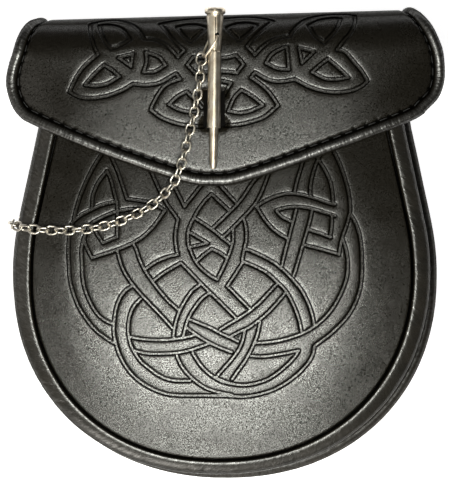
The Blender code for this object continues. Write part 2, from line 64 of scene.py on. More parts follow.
WAIST_Y = -14.0
SQUARENESS = 2.15
TAPER = 0.0045
TAPER_BEND = 24.0
TAPER_RISE = 62.0
EASING = 8.0
Level = namedtuple("Level", "half depth middle bottom_middle mouth_slope")
GROOVE = Level(half=82.4, depth=80.3, middle=-1.5, bottom_middle=-3.0, mouth_slope=0.10)
RIM = Level(half=89.9, depth=86.2, middle=-1.5, bottom_middle=-3.0, mouth_slope=0.10)
BACK = Level(half=92.2, depth=88.6, middle=-0.3, bottom_middle=0.3, mouth_slope=0.0)

LEATHER = 2.4
GUSSET_LEATHER = 1.6
BACK_ROLL = 2.6
FLAP_ROLL = 2.35
BACK_Z = 3.5
FLAP_Z = 37.8
MOUTH_Y = 76.0

FOLD_RADIUS = (FLAP_Z - BACK_Z) / 2
FOLD_Z = (FLAP_Z + BACK_Z) / 2
FOLD_Y = 80.0
FOLD_SLOPE = 0.028
QUARTER = FOLD_RADIUS * pi / 2
DROOP = 9.0
DROOP_POWER = 5
FLAP_HALF = 94.3
FLAP_BEND, BEND_REACH = 2.4, 60.0  # how far the flap has come down this far past the fold

EdgePoint = namedtuple("EdgePoint", "across down")
FLAP_EDGE = (
    EdgePoint(-79.9, -28.4),
    EdgePoint(-80.3, -12.0),
    EdgePoint(-82.0, -1.0),
    EdgePoint(-86.0, 5.0),
    EdgePoint(-89.7, 13.0),
    EdgePoint(-92.3, 22.5),
    EdgePoint(-94.9, 34.5),
    EdgePoint(-93.3, 43.3),
    EdgePoint(-89.3, 50.0),
    EdgePoint(-82.3, 54.5),
    EdgePoint(-53.9, 67.5),
    EdgePoint(-19.6, 80.2),
    EdgePoint(-4.5, 82.6),
    EdgePoint(10.5, 80.6),
    EdgePoint(45.0, 69.6),
    EdgePoint(79.7, 57.2),
    EdgePoint(87.6, 51.8),
    EdgePoint(92.7, 46.0),
    EdgePoint(94.9, 37.0),
    EdgePoint(93.6, 25.0),
    EdgePoint(90.2, 15.5),
    EdgePoint(86.0, 8.0),
    EdgePoint(81.8, 0.0),
    EdgePoint(79.9, -12.0),
    EdgePoint(79.3, -33.0),
)

PANEL_EDGE_INSET = 0.4
PANEL_TOP = 74.0
Crown = namedtuple("Crown", "ring height")
PANEL_CROWN = (
    Crown(1.0, 31.0),
    Crown(0.8, 32.9),
    Crown(0.6, 34.0),
    Crown(0.3, 34.8),
    Crown(0.0, 35.0),
)
PANEL_EDGE_HEIGHT = 29.3
MOUTH_FLATTENING, FLATTENING_FROM_Y = 0.25, 30.0
SAG, SAG_Y, SAG_REACH = 4.0, 52.0, 30.0  # where the flap presses the panel down

FOOT_INSET = 6.0
Skin = namedtuple("Skin", "base reach height")
GUSSET_SKIN = (
    Skin("groove", -0.42, 26.6),
    Skin("groove", 0.03, 26.2),
    Skin("groove", 0.05, 28.6),
    Skin("groove", 0.08, 30.1),
    Skin("groove", 0.16, 30.8),
    Skin("groove", 0.38, 30.7),
    Skin("groove", 0.72, 29.8),
    Skin("groove", 0.97, 28.3),
    Skin("foot", 1.04, 25.4),
    Skin("foot", 0.80, 19.0),
    Skin("foot", 0.45, 12.0),
    Skin("foot", 0.12, 7.6),
    Skin("foot", 0.00, BACK_Z + LEATHER / 2 + CLEARANCE),
)

SLOT_LEFT, SLOT_RIGHT, SLOT_BOTTOM, SLOT_TOP = -9.6, -0.2, 49.4, 65.4
SLOT_CORNER = 2.0

# ---------------------------------------------------------------- the pressed knotwork
# The middle line of each pressed groove, in pixels of the photograph, strand by strand.
# Where two runs share an end, the groove turns a sharp corner there.

PANEL_RUNS = (
    # right: the band that comes down from under the flap, and the point of its loop
    ((328, 141), (335, 154), (340.5, 166), (345, 179), (348.5, 193), (350, 205), (350, 213)),
    ((350, 213), (347, 224), (343, 235), (340.5, 245), (339, 254.5)),
    ((339, 254.5), (320, 249), (304, 245)),
    # right: the outermost strand, its outer and its inner edge
    ((351, 215), (355, 222), (359, 233), (361, 245), (361.7, 257), (361.8, 272), (360.5, 286),
     (356.5, 300), (349.5, 313.5), (339.5, 325.5), (328, 336), (315, 345.5)),
    ((343, 240), (346, 250), (347.8, 262), (346.8, 277), (342.5, 290), (336.5, 302), (329, 313),
     (320, 322), (309, 330), (297, 335.5), (282, 340), (268, 342.3), (255.5, 343)),
    # right: the strand that crosses under the flap's edge
    ((256, 206.5), (268, 199.5), (280, 195), (291, 193.5), (303, 195), (316, 198.8), (328, 203),
     (335, 204.5)),
    ((277, 210), (288, 207.5), (300, 207), (312, 209), (324, 212.5), (335, 216)),
    ((321, 153), (316, 164), (312.5, 175), (310.5, 186), (310.3, 196)),
    ((315, 154), (320.5, 163), (326, 172), (330.5, 183), (332.5, 194), (333, 203)),
    ((304, 158), (300, 171), (297, 181), (294.5, 192)),
    ((296, 210), (293, 222), (290, 233), (288, 241), (285, 252), (281.5, 266.5)),
    ((312, 211), (309, 224), (305.5, 236), (302.5, 246), (299, 258), (295.5, 270), (293.5, 276)),
    ((332, 216), (331.5, 227), (330, 237)),
    ((309, 230), (320, 233.5), (331, 237.5)),
    ((257, 207), (263, 217), (270, 226), (278, 233), (288, 239)),
    ((276.5, 211), (282, 217), (291, 221.5)),
    # the band that runs down from the right to the middle
    ((259, 175), (251, 185), (243, 197), (236, 205.5), (226, 215.5), (213.5, 227.5)),
    ((270, 170), (266, 181), (261.5, 192), (257, 201), (250, 210), (240, 220.5), (230, 230.5),
     (222, 238)),
    # middle, under the flap's point
    ((171, 180), (184.5, 206.5)),
    ((184.5, 206.5), (204, 182)),
    ((217, 182), (237, 204)),
    ((211.5, 194), (229.5, 211)),
    ((211.5, 194), (203, 203), (197.5, 211), (193.5, 218.5), (190.3, 225), (188.2, 232),
     (187.8, 239), (188.7, 246), (191, 252), (196, 262), (203, 270), (212, 277), (217, 279.5)),
    ((194.5, 218), (212, 229.5), (230, 244)),
    ((148, 163), (154.5, 179), (159.5, 190), (166, 202.5), (172, 211), (178, 219.5)),
    ((178, 219.5), (176, 229), (175.2, 239), (176.5, 249), (177.5, 253.5)),
    ((189, 232), (207.5, 243)),
    ((207.5, 243), (189, 247.5)),
    ((197.5, 260.5), (205, 254), (212, 249)),
    ((212, 249), (220, 253), (227, 258)),
    ((233, 229), (233, 239), (231.5, 247), (227, 259), (221.5, 271), (217, 279.5)),
    ((243.5, 218), (246, 228), (246.3, 239), (244.5, 248), (242.5, 258), (242.5, 262)),
    # left: the band that comes down from under the flap
    ((109, 143), (101, 155), (93, 168), (86, 182), (80, 197), (76, 210), (74, 219)),
    # left: the outermost strand, its outer and its inner edge
    ((114, 343), (105, 337.5), (94, 328.5), (85, 317), (80, 309), (75, 298), (70, 280), (69, 265),
     (68.5, 250), (69, 240), (70, 230), (73, 222), (80, 216), (90, 210.5), (102, 205), (115, 202)),
    ((127, 199), (140, 200.7), (150, 202.7), (158, 206.3), (165, 210.5)),
    ((115, 212), (103, 217), (91, 224), (87, 232), (83, 241), (81.5, 252), (82, 262), (82.5, 277),
     (85.5, 291), (91, 304), (97.5, 314), (105, 320.5), (112, 323.5)),
    ((119, 211), (132, 209), (142, 211)),
    # left: the small loop
    ((107, 171), (111, 180), (114, 192), (117, 203)),
    ((107, 171), (98, 183), (93, 196), (92, 209)),
    ((109, 151), (114, 163), (118, 172), (122, 184), (127, 199)),
    ((117, 203), (117.5, 220), (117, 237)),
    ((93, 226), (97, 234), (103, 243)),
    ((103, 243), (117, 237)),
    ((84, 237), (86, 246), (92, 258)),
    ((92, 258), (105, 254), (117, 250), (133, 243), (145, 235), (155, 224.5), (165, 210.5)),
    # the ring at the lower left, its outer and its inner edge
    ((131.5, 286.5), (125, 291), (119.5, 299), (116, 309), (114.3, 320), (113.8, 333),
     (116.5, 346), (120.5, 357), (126.5, 367.5), (135, 377.5), (146.5, 385.7), (160, 392),
     (173, 395), (190, 395.5), (209, 395.5), (225, 395.5)),
    ((140.5, 299), (133.5, 306.7), (129.8, 316), (128.2, 326.3), (128.6, 335), (131, 345.5),
     (136, 354.5), (141, 361.5), (149, 368.3), (157, 374.3), (167.5, 379.2), (178, 380.8),
     (190, 380.8)),
    # the band across the left ring
    ((130, 337), (141, 339), (155, 340), (168, 339.8), (180, 338.3), (190, 336.5), (195, 335)),
    ((134, 350.5), (147, 353.5), (161, 353.8), (176, 353), (189, 350.5), (201, 346.5),
     (209, 343.5)),
    # the band that runs down from the upper left
    ((117, 250), (122, 267), (128, 278), (135, 287.5), (143, 296.5), (153, 307), (163, 317.5),
     (172.5, 328)),
    ((133, 243), (136.5, 250), (140, 260.5), (145, 270.5), (152, 281), (160.5, 292),
     (169, 301.5), (178, 309.5)),
    # the short band between it and the middle
    ((146, 269), (156, 262), (167, 257.3), (178, 254.5)),
    ((154, 280.5), (163, 273.7), (172.5, 267.7), (181, 263)),
    ((181, 263), (190.5, 272.5), (200, 282.5), (210, 292.5), (220, 302), (230, 312), (237, 319)),
    # the band that bends down to the left ring's middle
    ((200, 284.5), (192, 291), (185.5, 300), (180, 310), (176, 321), (174, 331), (173.5, 338)),
    ((209, 293), (201, 299.5), (194.5, 308), (189, 317), (186, 325), (183.5, 335), (182, 338)),
    # the crossing in the middle
    ((190, 319.5), (201, 324), (212, 328.5), (221, 333.5), (231, 338), (238, 341.5)),
    ((187, 328), (194, 333), (202, 338.5), (212, 344), (222, 348.6), (232, 352.3)),
    # the band that runs down from the left ring to the bottom
    ((177, 356), (181, 365), (187, 373), (194, 380), (203, 386.5), (212, 390.5), (222, 393),
     (232, 395)),
    ((192.5, 352.5), (198, 361.5), (204.5, 369.5), (213, 376.5), (222, 381.5), (233, 384)),
    # the ring at the lower right, its outer and its inner edge
    ((314.5, 346), (313, 354), (309, 361.7), (301.5, 370.5), (291.7, 379), (281, 386),
     (269, 391.5), (256, 395), (242.7, 396.7), (228, 396), (214, 395.5)),
    ((298, 352), (294, 358), (287, 365), (279, 371.8), (269.5, 378.3), (258.5, 382.7), (246, 385),
     (233, 384), (221, 380), (213, 376.5)),
    ((251, 356), (263, 356.5), (276, 355), (288, 352.8), (299, 350.5)),
    # the band that runs down to the right
    ((245, 249), (250, 250.7), (263, 256.5), (276, 264), (286, 272.5), (294, 281), (302, 291),
     (308.5, 304), (312.5, 316), (314, 325)),
    ((244, 262), (256, 267), (267, 273), (277, 282), (285, 290), (291, 300), (296, 311),
     (299.5, 322), (301.5, 332)),
    # the band that crosses it
    ((277, 284), (268.5, 293), (259, 303), (250, 310.5), (240, 317.5), (229, 324), (220, 329.5)),
    ((285, 293.5), (277, 303), (268, 312.5), (258, 321), (248, 328), (238, 332.5), (230, 337)),
    ((243, 262), (236, 273), (227.5, 286)),
    ((227.5, 286), (238, 297), (250, 309)),
    # the band that bends from there down to the left
    ((260, 322), (258, 332), (255, 341), (250.5, 351), (245, 361), (238.5, 370), (232, 379.5)),
    ((244.5, 332), (242.5, 341), (238.5, 350), (232, 359), (224, 368), (217, 376)),
)

PANEL_DOTS = ((187.5, 333), (238, 336.5))  # the small round marks in the knotwork

FLAP_RUNS = (
    # the left lobe
    ((90, 23), (90, 28), (91, 35), (94, 45), (98, 54)),
    ((98, 54), (90, 61), (82, 69), (75, 80), (69.5, 92)),
    ((69.5, 92), (80, 97.3), (93, 98.2), (107, 96), (122, 90.5), (133, 84)),
    ((133, 84), (145, 85.2), (158, 83.5), (167, 79), (176, 73.5)),
    ((176, 73.5), (180, 79)),
    ((90, 23), (100, 20.4), (114, 19), (126, 21), (134, 25), (140, 31), (144, 38)),
    ((99, 24.4), (108, 23.6), (118, 26), (125, 31), (130, 39)),
    ((99, 24.4), (102, 34), (106, 42), (111, 48)),
    ((111, 48), (120, 45), (130, 39)),
    ((85, 85), (96, 86), (108, 83.5), (119.5, 76.5)),
    ((119.5, 76.5), (112, 70), (104, 65)),
    ((104, 65), (94, 74.5), (85, 85)),
    ((118.5, 57.5), (131, 66.5)),
    ((131, 66.5), (132.8, 54)),
    ((132.8, 54), (118.5, 57.5)),
    ((146, 52), (146.5, 62), (143.5, 72)),
    ((143.5, 72), (155, 71.5), (165.5, 65)),
    ((165.5, 65), (159, 57), (146, 52)),
    ((144, 38), (154, 39), (164, 43), (172, 50), (178, 57)),
    ((178, 57), (184, 50)),
    ((184, 50), (177, 43), (169, 34), (160, 23)),
    # the lower left lobe and the lower middle
    ((180, 79), (166, 85), (158.5, 94), (152.5, 105), (151, 110)),
    ((151, 110), (160, 117), (171, 121.8), (182, 124.8), (192, 126), (203, 126.5)),
    ((226, 125.5), (240, 124.5), (254, 121), (266, 116), (278, 105.3)),
    ((278, 105.3), (270.5, 94), (262, 85.5), (251, 77.5)),
    ((169, 104.5), (177, 97), (186.5, 91.5)),
    ((186.5, 91.5), (198, 103), (202, 108)),
    ((169, 104.5), (178, 109.5), (188, 112), (198, 112)),
    ((228.5, 111), (234, 98), (241.5, 90)),
    ((241.5, 90), (253, 97), (263, 105)),
    ((263, 105), (252, 110.5), (240, 113), (228.5, 111)),
    # the middle
    ((187.2, 64.8), (193.5, 57)),
    ((193.5, 57), (223, 58), (236, 55.3)),
    ((236, 55.3), (243.6, 64)),
    ((243.6, 64), (237, 73)),
    ((237, 73), (222, 71.8), (195, 73.3)),
    ((195, 73.3), (187.2, 64.8)),
    ((222, 81), (231, 83)),
    ((231, 83), (224, 95)),
    ((160, 23), (174, 20), (190, 18), (204, 17.3)),
    ((177, 26.5), (188, 24), (197, 24.3), (206, 27)),
    ((177, 26.5), (183, 34), (190, 41)),
    ((190, 41), (197, 35), (206, 27)),
    ((225, 17.2), (245, 16), (261, 17), (273, 20)),
    ((227, 27), (237, 23), (248, 22.3), (257, 24.4)),
    ((227, 27), (233, 34), (239, 40)),
    ((239, 40), (248, 33), (257, 24.4)),
    ((273, 20), (263, 28), (255, 36), (247, 46)),
    ((247, 46), (255, 55)),
    ((255, 55), (262, 47), (272, 40), (284, 36), (290, 35.5)),
    # the right lobe
    ((251, 77.5), (255, 72.5)),
    ((255, 72.5), (268.5, 80), (281, 81.7), (295, 79.5)),
    ((295, 79.5), (308, 86.5), (322, 91), (336, 92.5), (350, 91), (361, 86.5), (367.5, 81)),
    ((367.5, 81), (361.5, 71), (353, 61), (345, 52), (337, 49.5)),
    ((337, 49.5), (343, 41), (351, 31), (355, 21), (355, 14)),
    ((290, 35.5), (293, 30), (298, 24.5), (305, 19), (315, 15.5), (329, 13.6), (343, 13.2),
     (355, 14)),
    ((309, 25), (319, 19.6), (331, 17), (341, 17)),
    ((341, 17), (337, 27), (331, 35), (324, 42)),
    ((324, 42), (315, 35), (309, 25)),
    ((266, 63), (271.5, 54.5), (281, 48.5), (287, 46.5)),
    ((287, 46.5), (287.7, 56), (289, 69.5)),
    ((289, 69.5), (277, 68.5), (266, 63)),
    ((299, 47.5), (314, 51.5)),
    ((314, 51.5), (302, 63)),
    ((302, 63), (299, 47.5)),
    ((312, 72), (320, 65), (328, 59)),
    ((328, 59), (338, 67.5), (348.5, 77.5)),
    ((348.5, 77.5), (336, 79.5), (324, 78.5), (312, 72)),
)

# The pressed groove's section: a flat floor, a steep wall and a soft shoulder
FLOOR_HALF = 0.55
WALL_HALF = 0.95
GROOVE_DEPTH = 0.85
SHOULDER_DROP = 0.16
FLAP_SHOULDER_DROP = 0.24
SHOULDER_REACH = 0.42
RELIEF_OFFSETS = (0.3, 0.55, 0.95, 1.15, 1.65)  # lines of mesh points beside a groove's middle
LINE_STEP = 0.75  # between mesh points along a groove
DENSE_STEP = 0.15  # between the places that distances to a groove are measured from
FAR = 9.0  # stands for any distance at which a groove no longer shows
INNER_SPACING, INNER_ROOM = 5.0, 1.5  # of the plain inner skin's points, and round its edge


# ---------------------------------------------------------------- helpers

def eased(low, high, value):
    """0 below low, 1 above high and smooth between them."""
    part = min(max((value - low) / (high - low), 0.0), 1.0)
    return part * part * (3 - 2 * part)


def placed(point):
    """A point in millimetres, in metres from the origin."""
    return (Vector(point) - BOX_MIDDLE) * MILLIMETRE


def smooth_line(points, steps):
    """A Catmull-Rom line through the points, with this many steps from each to the next."""
    points = [Vector(point) for point in points]
    ends = [2 * points[0] - points[1], *points, 2 * points[-1] - points[-2]]
    line = []
    for before, start, end, after in zip(ends, ends[1:], ends[2:], ends[3:]):
        for step in range(steps):
            t = step / steps
            line.append(
                (2 * start + (end - before) * t
                 + (2 * before - 5 * start + 4 * end - after) * t * t
                 + (3 * start - before - 3 * end + after) * t ** 3) / 2
            )
    return [*line, points[-1]]


def lengths_along(line):
    lengths = [0.0]
    for start, end in zip(line, line[1:]):
        lengths.append(lengths[-1] + (end - start).length)
    return lengths


def even_points(line, count):
    """The line's points at equal distances along it."""
    lengths = lengths_along(line)
    found, at = [], 0
    for index in range(count):
        wanted = lengths[-1] * index / (count - 1)
        while at < len(line) - 2 and lengths[at + 1] < wanted:
            at += 1
        part = (wanted - lengths[at]) / max(lengths[at + 1] - lengths[at], 1e-9)
        found.append(line[at].lerp(line[at + 1], part))
    return found


def spaced_points(line, step):
    """The line's points about this far apart."""
    return even_points(line, max(2, round(lengths_along(line)[-1] / step) + 1))


def moved_in(line, distance):
    """A flat line moved towards its inner side, which is on the right of the way it runs down."""
    moved = []
    for index, point in enumerate(line):
        along = line[min(index + 1, len(line) - 1)] - line[max(index - 1, 0)]
        moved.append(point + Vector((along.y, -along.x)).normalized() * distance)
    return moved


def new_piece(name, mesh, finish, node=None, smooth_angle=60):
    """Adds a mesh as a piece that rides on the pouch and may stand for a CAD node."""
    made = bpy.data.objects.new(name, mesh)
    bpy.context.scene.collection.objects.link(made)
    mesh.materials.clear()
    mesh.materials.append(finish)
    mesh.shade_smooth()
    mesh.set_sharp_from_angle(angle=radians(smooth_angle))
    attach(made, "root")
    if node:
        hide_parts(node)
    return made


# ---------------------------------------------------------------- outlines

CORNER_STEPS = 6


def half_width(level, y):
    """Half the outline's width above the waist."""
    rise = y - WAIST_Y
    curved, straight = min(rise, TAPER_BEND), min(rise, TAPER_RISE)
    slope = 2 * TAPER * TAPER_BEND
    turn = (slope - level.mouth_slope) * EASING * (1 - exp((straight - rise) / EASING))
    drawn_in = TAPER * curved ** 2 + slope * (straight - curved)
    return level.half - drawn_in - level.mouth_slope * (rise - straight) - turn


def squared(part):
    """A cosine or sine of the way round, for an outline squarer than an ellipse."""
    return copysign(abs(part) ** (2 / SQUARENESS), part)


def inside(level, inset):
    return level._replace(half=level.half - inset, depth=level.depth - inset)


def outline(level, top, ring=1.0, side_steps=60, bottom_steps=180):
    """Down the left side, round the bottom and up the right side; ring 0 is the middle line."""
    heights = [WAIST_Y + (top - WAIST_Y) * (1 - step / side_steps) for step in range(side_steps)]
    left = [Vector((level.middle - ring * half_width(level, y), y)) for y in heights]
    bottom = []
    for step in range(bottom_steps + 1):
        angle = pi * step / bottom_steps
        across, down = squared(cos(angle)), squared(sin(angle))
        middle = level.middle + ring * (level.bottom_middle - level.middle) * down
        bottom.append(Vector((middle - ring * level.half * across,
                              WAIST_Y - ring * level.depth * down)))
    right = [Vector((level.middle + ring * half_width(level, y), y)) for y in reversed(heights)]
    return left + bottom + right


def ring_of(level, x, y):
    """How far out a point lies: 0 on the middle line and 1 on the outline."""
    if y >= WAIST_Y:
        return abs(x - level.middle) / half_width(level, y)
    down = (WAIST_Y - y) / level.depth
    middle = level.middle + (level.bottom_middle - level.middle) * down
    across = abs(x - middle) / level.half
    return (across ** SQUARENESS + down ** SQUARENESS) ** (1 / SQUARENESS)


def rounded_box(middle, across, up, corner):
    """The outline of a box of these half sizes, counter-clockwise, with round corners."""
    loop = []
    for quarter, (sx, sy) in enumerate(((1, 1), (-1, 1), (-1, -1), (1, -1))):
        for step in range(CORNER_STEPS + 1):
            angle = pi / 2 * (quarter + step / CORNER_STEPS)
            loop.append(middle + Vector((sx * (across - corner) + corner * cos(angle),
                                         sy * (up - corner) + corner * sin(angle))))
    return loop


# ---------------------------------------------------------------- sheets with pressed lines

def charted(pixel, height):
    """Where a pixel of the photograph lies at this height."""
    scale = PIXEL * (CAMERA_DISTANCE + FRONT_Z - height) / CAMERA_DISTANCE
    return Vector(((pixel[0] - PIXEL_ORIGIN[0]) * scale, (PIXEL_ORIGIN[1] - pixel[1]) * scale))


def relief(distance, shoulder):
    """The leather's height beside a pressed line whose shoulder falls this far."""
    if distance <= FLOOR_HALF:
        return -GROOVE_DEPTH
    if distance <= WALL_HALF:
        part = (distance - FLOOR_HALF) / (WALL_HALF - FLOOR_HALF)
        return -GROOVE_DEPTH + (GROOVE_DEPTH - shoulder) * part
    return -shoulder * exp((WALL_HALF - distance) / SHOULDER_REACH)


def offset_loop(line, distance):
    """The closed line at this distance round an open one, with round ends."""
    first, last = line[0] - line[1], line[-1] - line[-2]
    loop = [point for point in moved_in(line, distance)]
    for centre, out in ((line[-1], last), (line[0], first)):
        start = Vector((-out.y, out.x)).normalized() * -distance
        for step in range(1, 5):
            turn = Matrix.Rotation(pi * step / 5, 2)
            loop.append(centre + turn @ start)
        if centre is line[-1]:
            loop.extend(reversed(moved_in(line, -distance)))
    return loop


class FlatMesh:
    """Points and fixed edges on a flat sheet, made into triangles inside its boundary."""

    def __init__(self):
        self.points, self.edges = [], []

    def add_line(self, line, closed=False):
        first = len(self.points)
        self.points.extend(line)
        last = len(self.points)
        self.edges.extend((at, at + 1) for at in range(first, last - 1))
        if closed:
            self.edges.append((last - 1, first))

    def triangles(self, boundary, holes):
        """The triangles inside the boundary and outside the holes."""
        made = geometry.delaunay_2d_cdt(self.points, self.edges, [], 0, 1e-4, False)
        points, faces = made[0], made[2]
        coords = np.array([tuple(point) for point in points])
        middles = coords[np.array(faces)].mean(1)
        kept = inside_polygon(middles, [tuple(point) for point in boundary])
        for hole in holes:
            kept &= ~inside_polygon(middles, [tuple(point) for point in hole])
        return points, [face for face, keep in zip(faces, kept) if keep]


def tree_of(points):
    tree = kdtree.KDTree(max(len(points), 1))
    for index, point in enumerate(points):
        tree.insert((point[0], point[1], 0.0), index)
    tree.balance()
    return tree


def nearest(tree, point):
    return tree.find((point[0], point[1], 0.0))[2]


def inside_polygon(points, polygon):
    """Which of an array of points lie inside the polygon."""
    x, y = points[:, 0], points[:, 1]
    found = np.zeros(len(points), bool)
    for (x0, y0), (x1, y1) in zip(polygon, polygon[1:] + polygon[:1]):
        crosses = (y0 > y) != (y1 > y)
        if y0 != y1:
            found ^= crosses & (x < (x1 - x0) * (y - y0) / (y1 - y0) + x0)
    return found


def background(boundary, spacing):
    """Staggered points all over the inside of the boundary."""
    low = [min(point[axis] for point in boundary) for axis in (0, 1)]
    high = [max(point[axis] for point in boundary) for axis in (0, 1)]
    rows = int((high[1] - low[1]) / (spacing * 0.866)) + 1
    columns = int((high[0] - low[0]) / spacing) + 1
    row, column = np.meshgrid(np.arange(rows), np.arange(columns), indexing="ij")
    x = low[0] + (column + 0.5 * (row % 2)) * spacing
    y = low[1] + row * spacing * 0.866
    points = np.stack([x.ravel(), y.ravel()], axis=1)
    return points[inside_polygon(points, [tuple(point) for point in boundary])]


def sheet_mesh(name, boundary, runs, holes, spacing, outer, inner, near_edge=(), dents=(),
               seam_shade=0.0, shoulder=SHOULDER_DROP):
    """A leather sheet with two skins: the outer one pressed along the runs, the inner one plain.

    The boundary runs with the leather on its right.
    outer(point, height) and inner(point) place a flat point. spacing is how far apart the free
    points lie, on worked and on plain leather, and near_edge gives rows of points at these
    distances inside the boundary. Painted shade reaches seam_shade in from its edge.
    """
    fine = [spaced_points(smooth_line(run, 8), LINE_STEP) for run in runs]
    dense = [point for run in runs
             for point in spaced_points(smooth_line(run, 8), DENSE_STEP)]
    line_tree, edge_tree = tree_of(dense), tree_of(boundary)
    flat = FlatMesh()
    flat.add_line(boundary, closed=True)
    for hole in holes:
        flat.add_line(hole, closed=True)
    for line in fine:
        for offset in RELIEF_OFFSETS:
            flat.add_line(offset_loop(line, offset), closed=True)
    for distance in near_edge:
        flat.points.extend(moved_in(boundary, distance)[1:-1])
    hole_tree = tree_of([point for hole in holes for point in hole])
    edge_room = max(near_edge, default=0.0) + 0.5
    for at in background(boundary, min(spacing)):
        wide = spacing[1] if outer_is_plain(at, name) else spacing[0]
        if wide > spacing[0] and (round(at[0] * 7.3) + round(at[1] * 3.1)) % 4:
            continue
        if dense and nearest(line_tree, at) < RELIEF_OFFSETS[-1] + 0.55 * spacing[0]:
            continue
        if nearest(edge_tree, at) < edge_room or (holes and nearest(hole_tree, at) < 0.5):
            continue
        flat.points.append(Vector(at))
    points, faces = flat.triangles(boundary, holes)
    line_tree = line_tree if dense else None
    return two_skins(name, points, faces, boundary, holes, line_tree, outer, inner, dents,
                     seam_shade, shoulder)


def outer_is_plain(at, name):
    """Whether nothing but plain leather is there, so that few points do: the pouch's back."""
    return name == "back_flap" and at[1] < -QUARTER - 4


def two_skins(name, points, faces, boundary, holes, line_tree, outer, inner, dents, seam_shade,
              shoulder):
    """The flat triangles as an outer skin with its relief, an inner skin, and walls between."""
    dent_tree = tree_of(dents) if dents else None
    seam_tree = tree_of(boundary)
    distances, top = [], []
    for point in points:
        distance = nearest(line_tree, point) if line_tree else FAR
        height = relief(distance, shoulder)
        # a dent is pressed in, and painted shade is given round it through the groove distance
        if dent_tree:
            away = nearest(dent_tree, point)
            height -= DENT_DEPTH * exp(-(away / DENT_RADIUS) ** 2)
            distance = min(distance, DARKEST + max(away - DENT_SHADE, 0.0))
        # painted shade along the leather's edge, in the seam's crease
        if seam_shade:
            distance = min(distance, DARKEST + max(nearest(seam_tree, point) - seam_shade, 0.0))
        distances.append(min(distance, FAR))
        top.append(placed(outer(point, height)))
    below = FlatMesh()
    rim = [Vector(point) for point in boundary]
    below.add_line(rim, closed=True)
    for hole in holes:
        below.add_line(hole, closed=True)
    edge_tree = tree_of(list(boundary) + [point for hole in holes for point in hole])
    for at in background(boundary, INNER_SPACING):
        if nearest(edge_tree, at) > INNER_ROOM:
            below.points.append(Vector(at))
    low_points, low_faces = below.triangles(boundary, holes)
    first = len(top)
    bottom = [placed(inner(point)) for point in low_points]
    bottom_faces = [[first + at for at in reversed(face)] for face in low_faces]
    walls = []
    for loop in (rim, *holes):
        upper = matching(points, loop)
        lower = [first + at for at in matching(low_points, loop)]
        for a, b, c, d in zip(upper, upper[1:] + upper[:1], lower[1:] + lower[:1], lower):
            walls.append((a, d, c, b))
    mesh = bpy.data.meshes.new(name)
    mesh.from_pydata(top + bottom, [], [tuple(face) for face in faces] + bottom_faces + walls)
    mesh.validate()
    groove = mesh.attributes.new("groove", "FLOAT", "POINT")
    groove.data.foreach_set("value", distances + [FAR] * len(bottom))
    tidy_normals(mesh)
    return mesh


def matching(points, loop):
    """The numbers of the points that lie at the loop's points."""
    tree = tree_of(points)
    return [tree.find((point[0], point[1], 0.0))[1] for point in loop]


def tidy_normals(mesh):
    work = bmesh.new()
    work.from_mesh(mesh)
    bmesh.ops.recalc_face_normals(work, faces=work.faces)
    work.to_mesh(mesh)
    work.free()


# ---------------------------------------------------------------- materials

def node(tree, kind, **inputs):
    """A shader node, with values or links for its inputs by name."""
    made = tree.nodes.new(kind)
    for name, value in inputs.items():
        socket = made.inputs[name.replace("_", " ")]
        if isinstance(value, bpy.types.NodeSocket):
            tree.links.new(value, socket)
        else:
            socket.default_value = value
    return made


def new_material(name):
    made = bpy.data.materials.new(name)
    made.use_nodes = True
    return made, made.node_tree, made.node_tree.nodes["Principled BSDF"]


def millimetres(tree, source="Object", stretch=(1.0, 1.0, 1.0), turn=0.0):
    """Texture coordinates in millimetres, turned and then stretched."""
    start = tree.nodes.new("ShaderNodeTexCoord").outputs[source]
    scale = 1000.0 if source == "Object" else 1.0
    mapping = tree.nodes.new("ShaderNodeMapping")
    mapping.vector_type = "TEXTURE"
    tree.links.new(start, mapping.inputs["Vector"])
    mapping.inputs["Rotation"].default_value = (0.0, 0.0, turn)
    mapping.inputs["Scale"].default_value = [1 / (scale * part) for part in stretch]
    return mapping.outputs["Vector"]


def noise_of(tree, where, size, detail=3.0, roughness=0.55, distortion=0.0):
    made = node(tree, "ShaderNodeTexNoise", Vector=where, Scale=1.0 / size, Detail=detail,
                Roughness=roughness, Distortion=distortion)
    return made.outputs["Fac"]


def between(tree, value, low, high, bottom=0.0, top=1.0):
    """The value's part from low to high, as a number from bottom to top."""
    made = node(tree, "ShaderNodeMapRange", Value=value)
    made.inputs["From Min"].default_value = low
    made.inputs["From Max"].default_value = high
    made.inputs["To Min"].default_value = bottom
    made.inputs["To Max"].default_value = top
    return made.outputs["Result"]


def blend_of(tree, factor, first, second):
    made = tree.nodes.new("ShaderNodeMix")
    made.data_type = "RGBA"
    tree.links.new(factor, made.inputs["Factor"])
    for socket, colour in ((made.inputs["A"], first), (made.inputs["B"], second)):
        if isinstance(colour, bpy.types.NodeSocket):
            tree.links.new(colour, socket)
        else:
            socket.default_value = (*colour, 1.0)
    return made.outputs["Result"]


def math_of(tree, operation, first, second):
    made = tree.nodes.new("ShaderNodeMath")
    made.operation = operation
    for socket, value in zip(made.inputs, (first, second)):
        if isinstance(value, bpy.types.NodeSocket):
            tree.links.new(value, socket)
        else:
            socket.default_value = value
    return made.outputs["Value"]


def bump_of(tree, height, distance, strength, under=None):
    """A bump whose full height is this many millimetres."""
    made = node(tree, "ShaderNodeBump", Height=height, Strength=strength,
                Distance=distance * MILLIMETRE)
    if under:
        tree.links.new(under, made.inputs["Normal"])
    return made.outputs["Normal"]


def groove_shade(tree):
    """1 on the walls of a pressed line or seam, where shade is painted, and 0 on open leather."""
    beside = node(tree, "ShaderNodeAttribute")
    beside.attribute_name = "groove"
    distance = beside.outputs["Fac"]
    return math_of(tree, "MULTIPLY", between(tree, distance, 0.35, 0.6),
                   between(tree, distance, 1.2, 0.9))


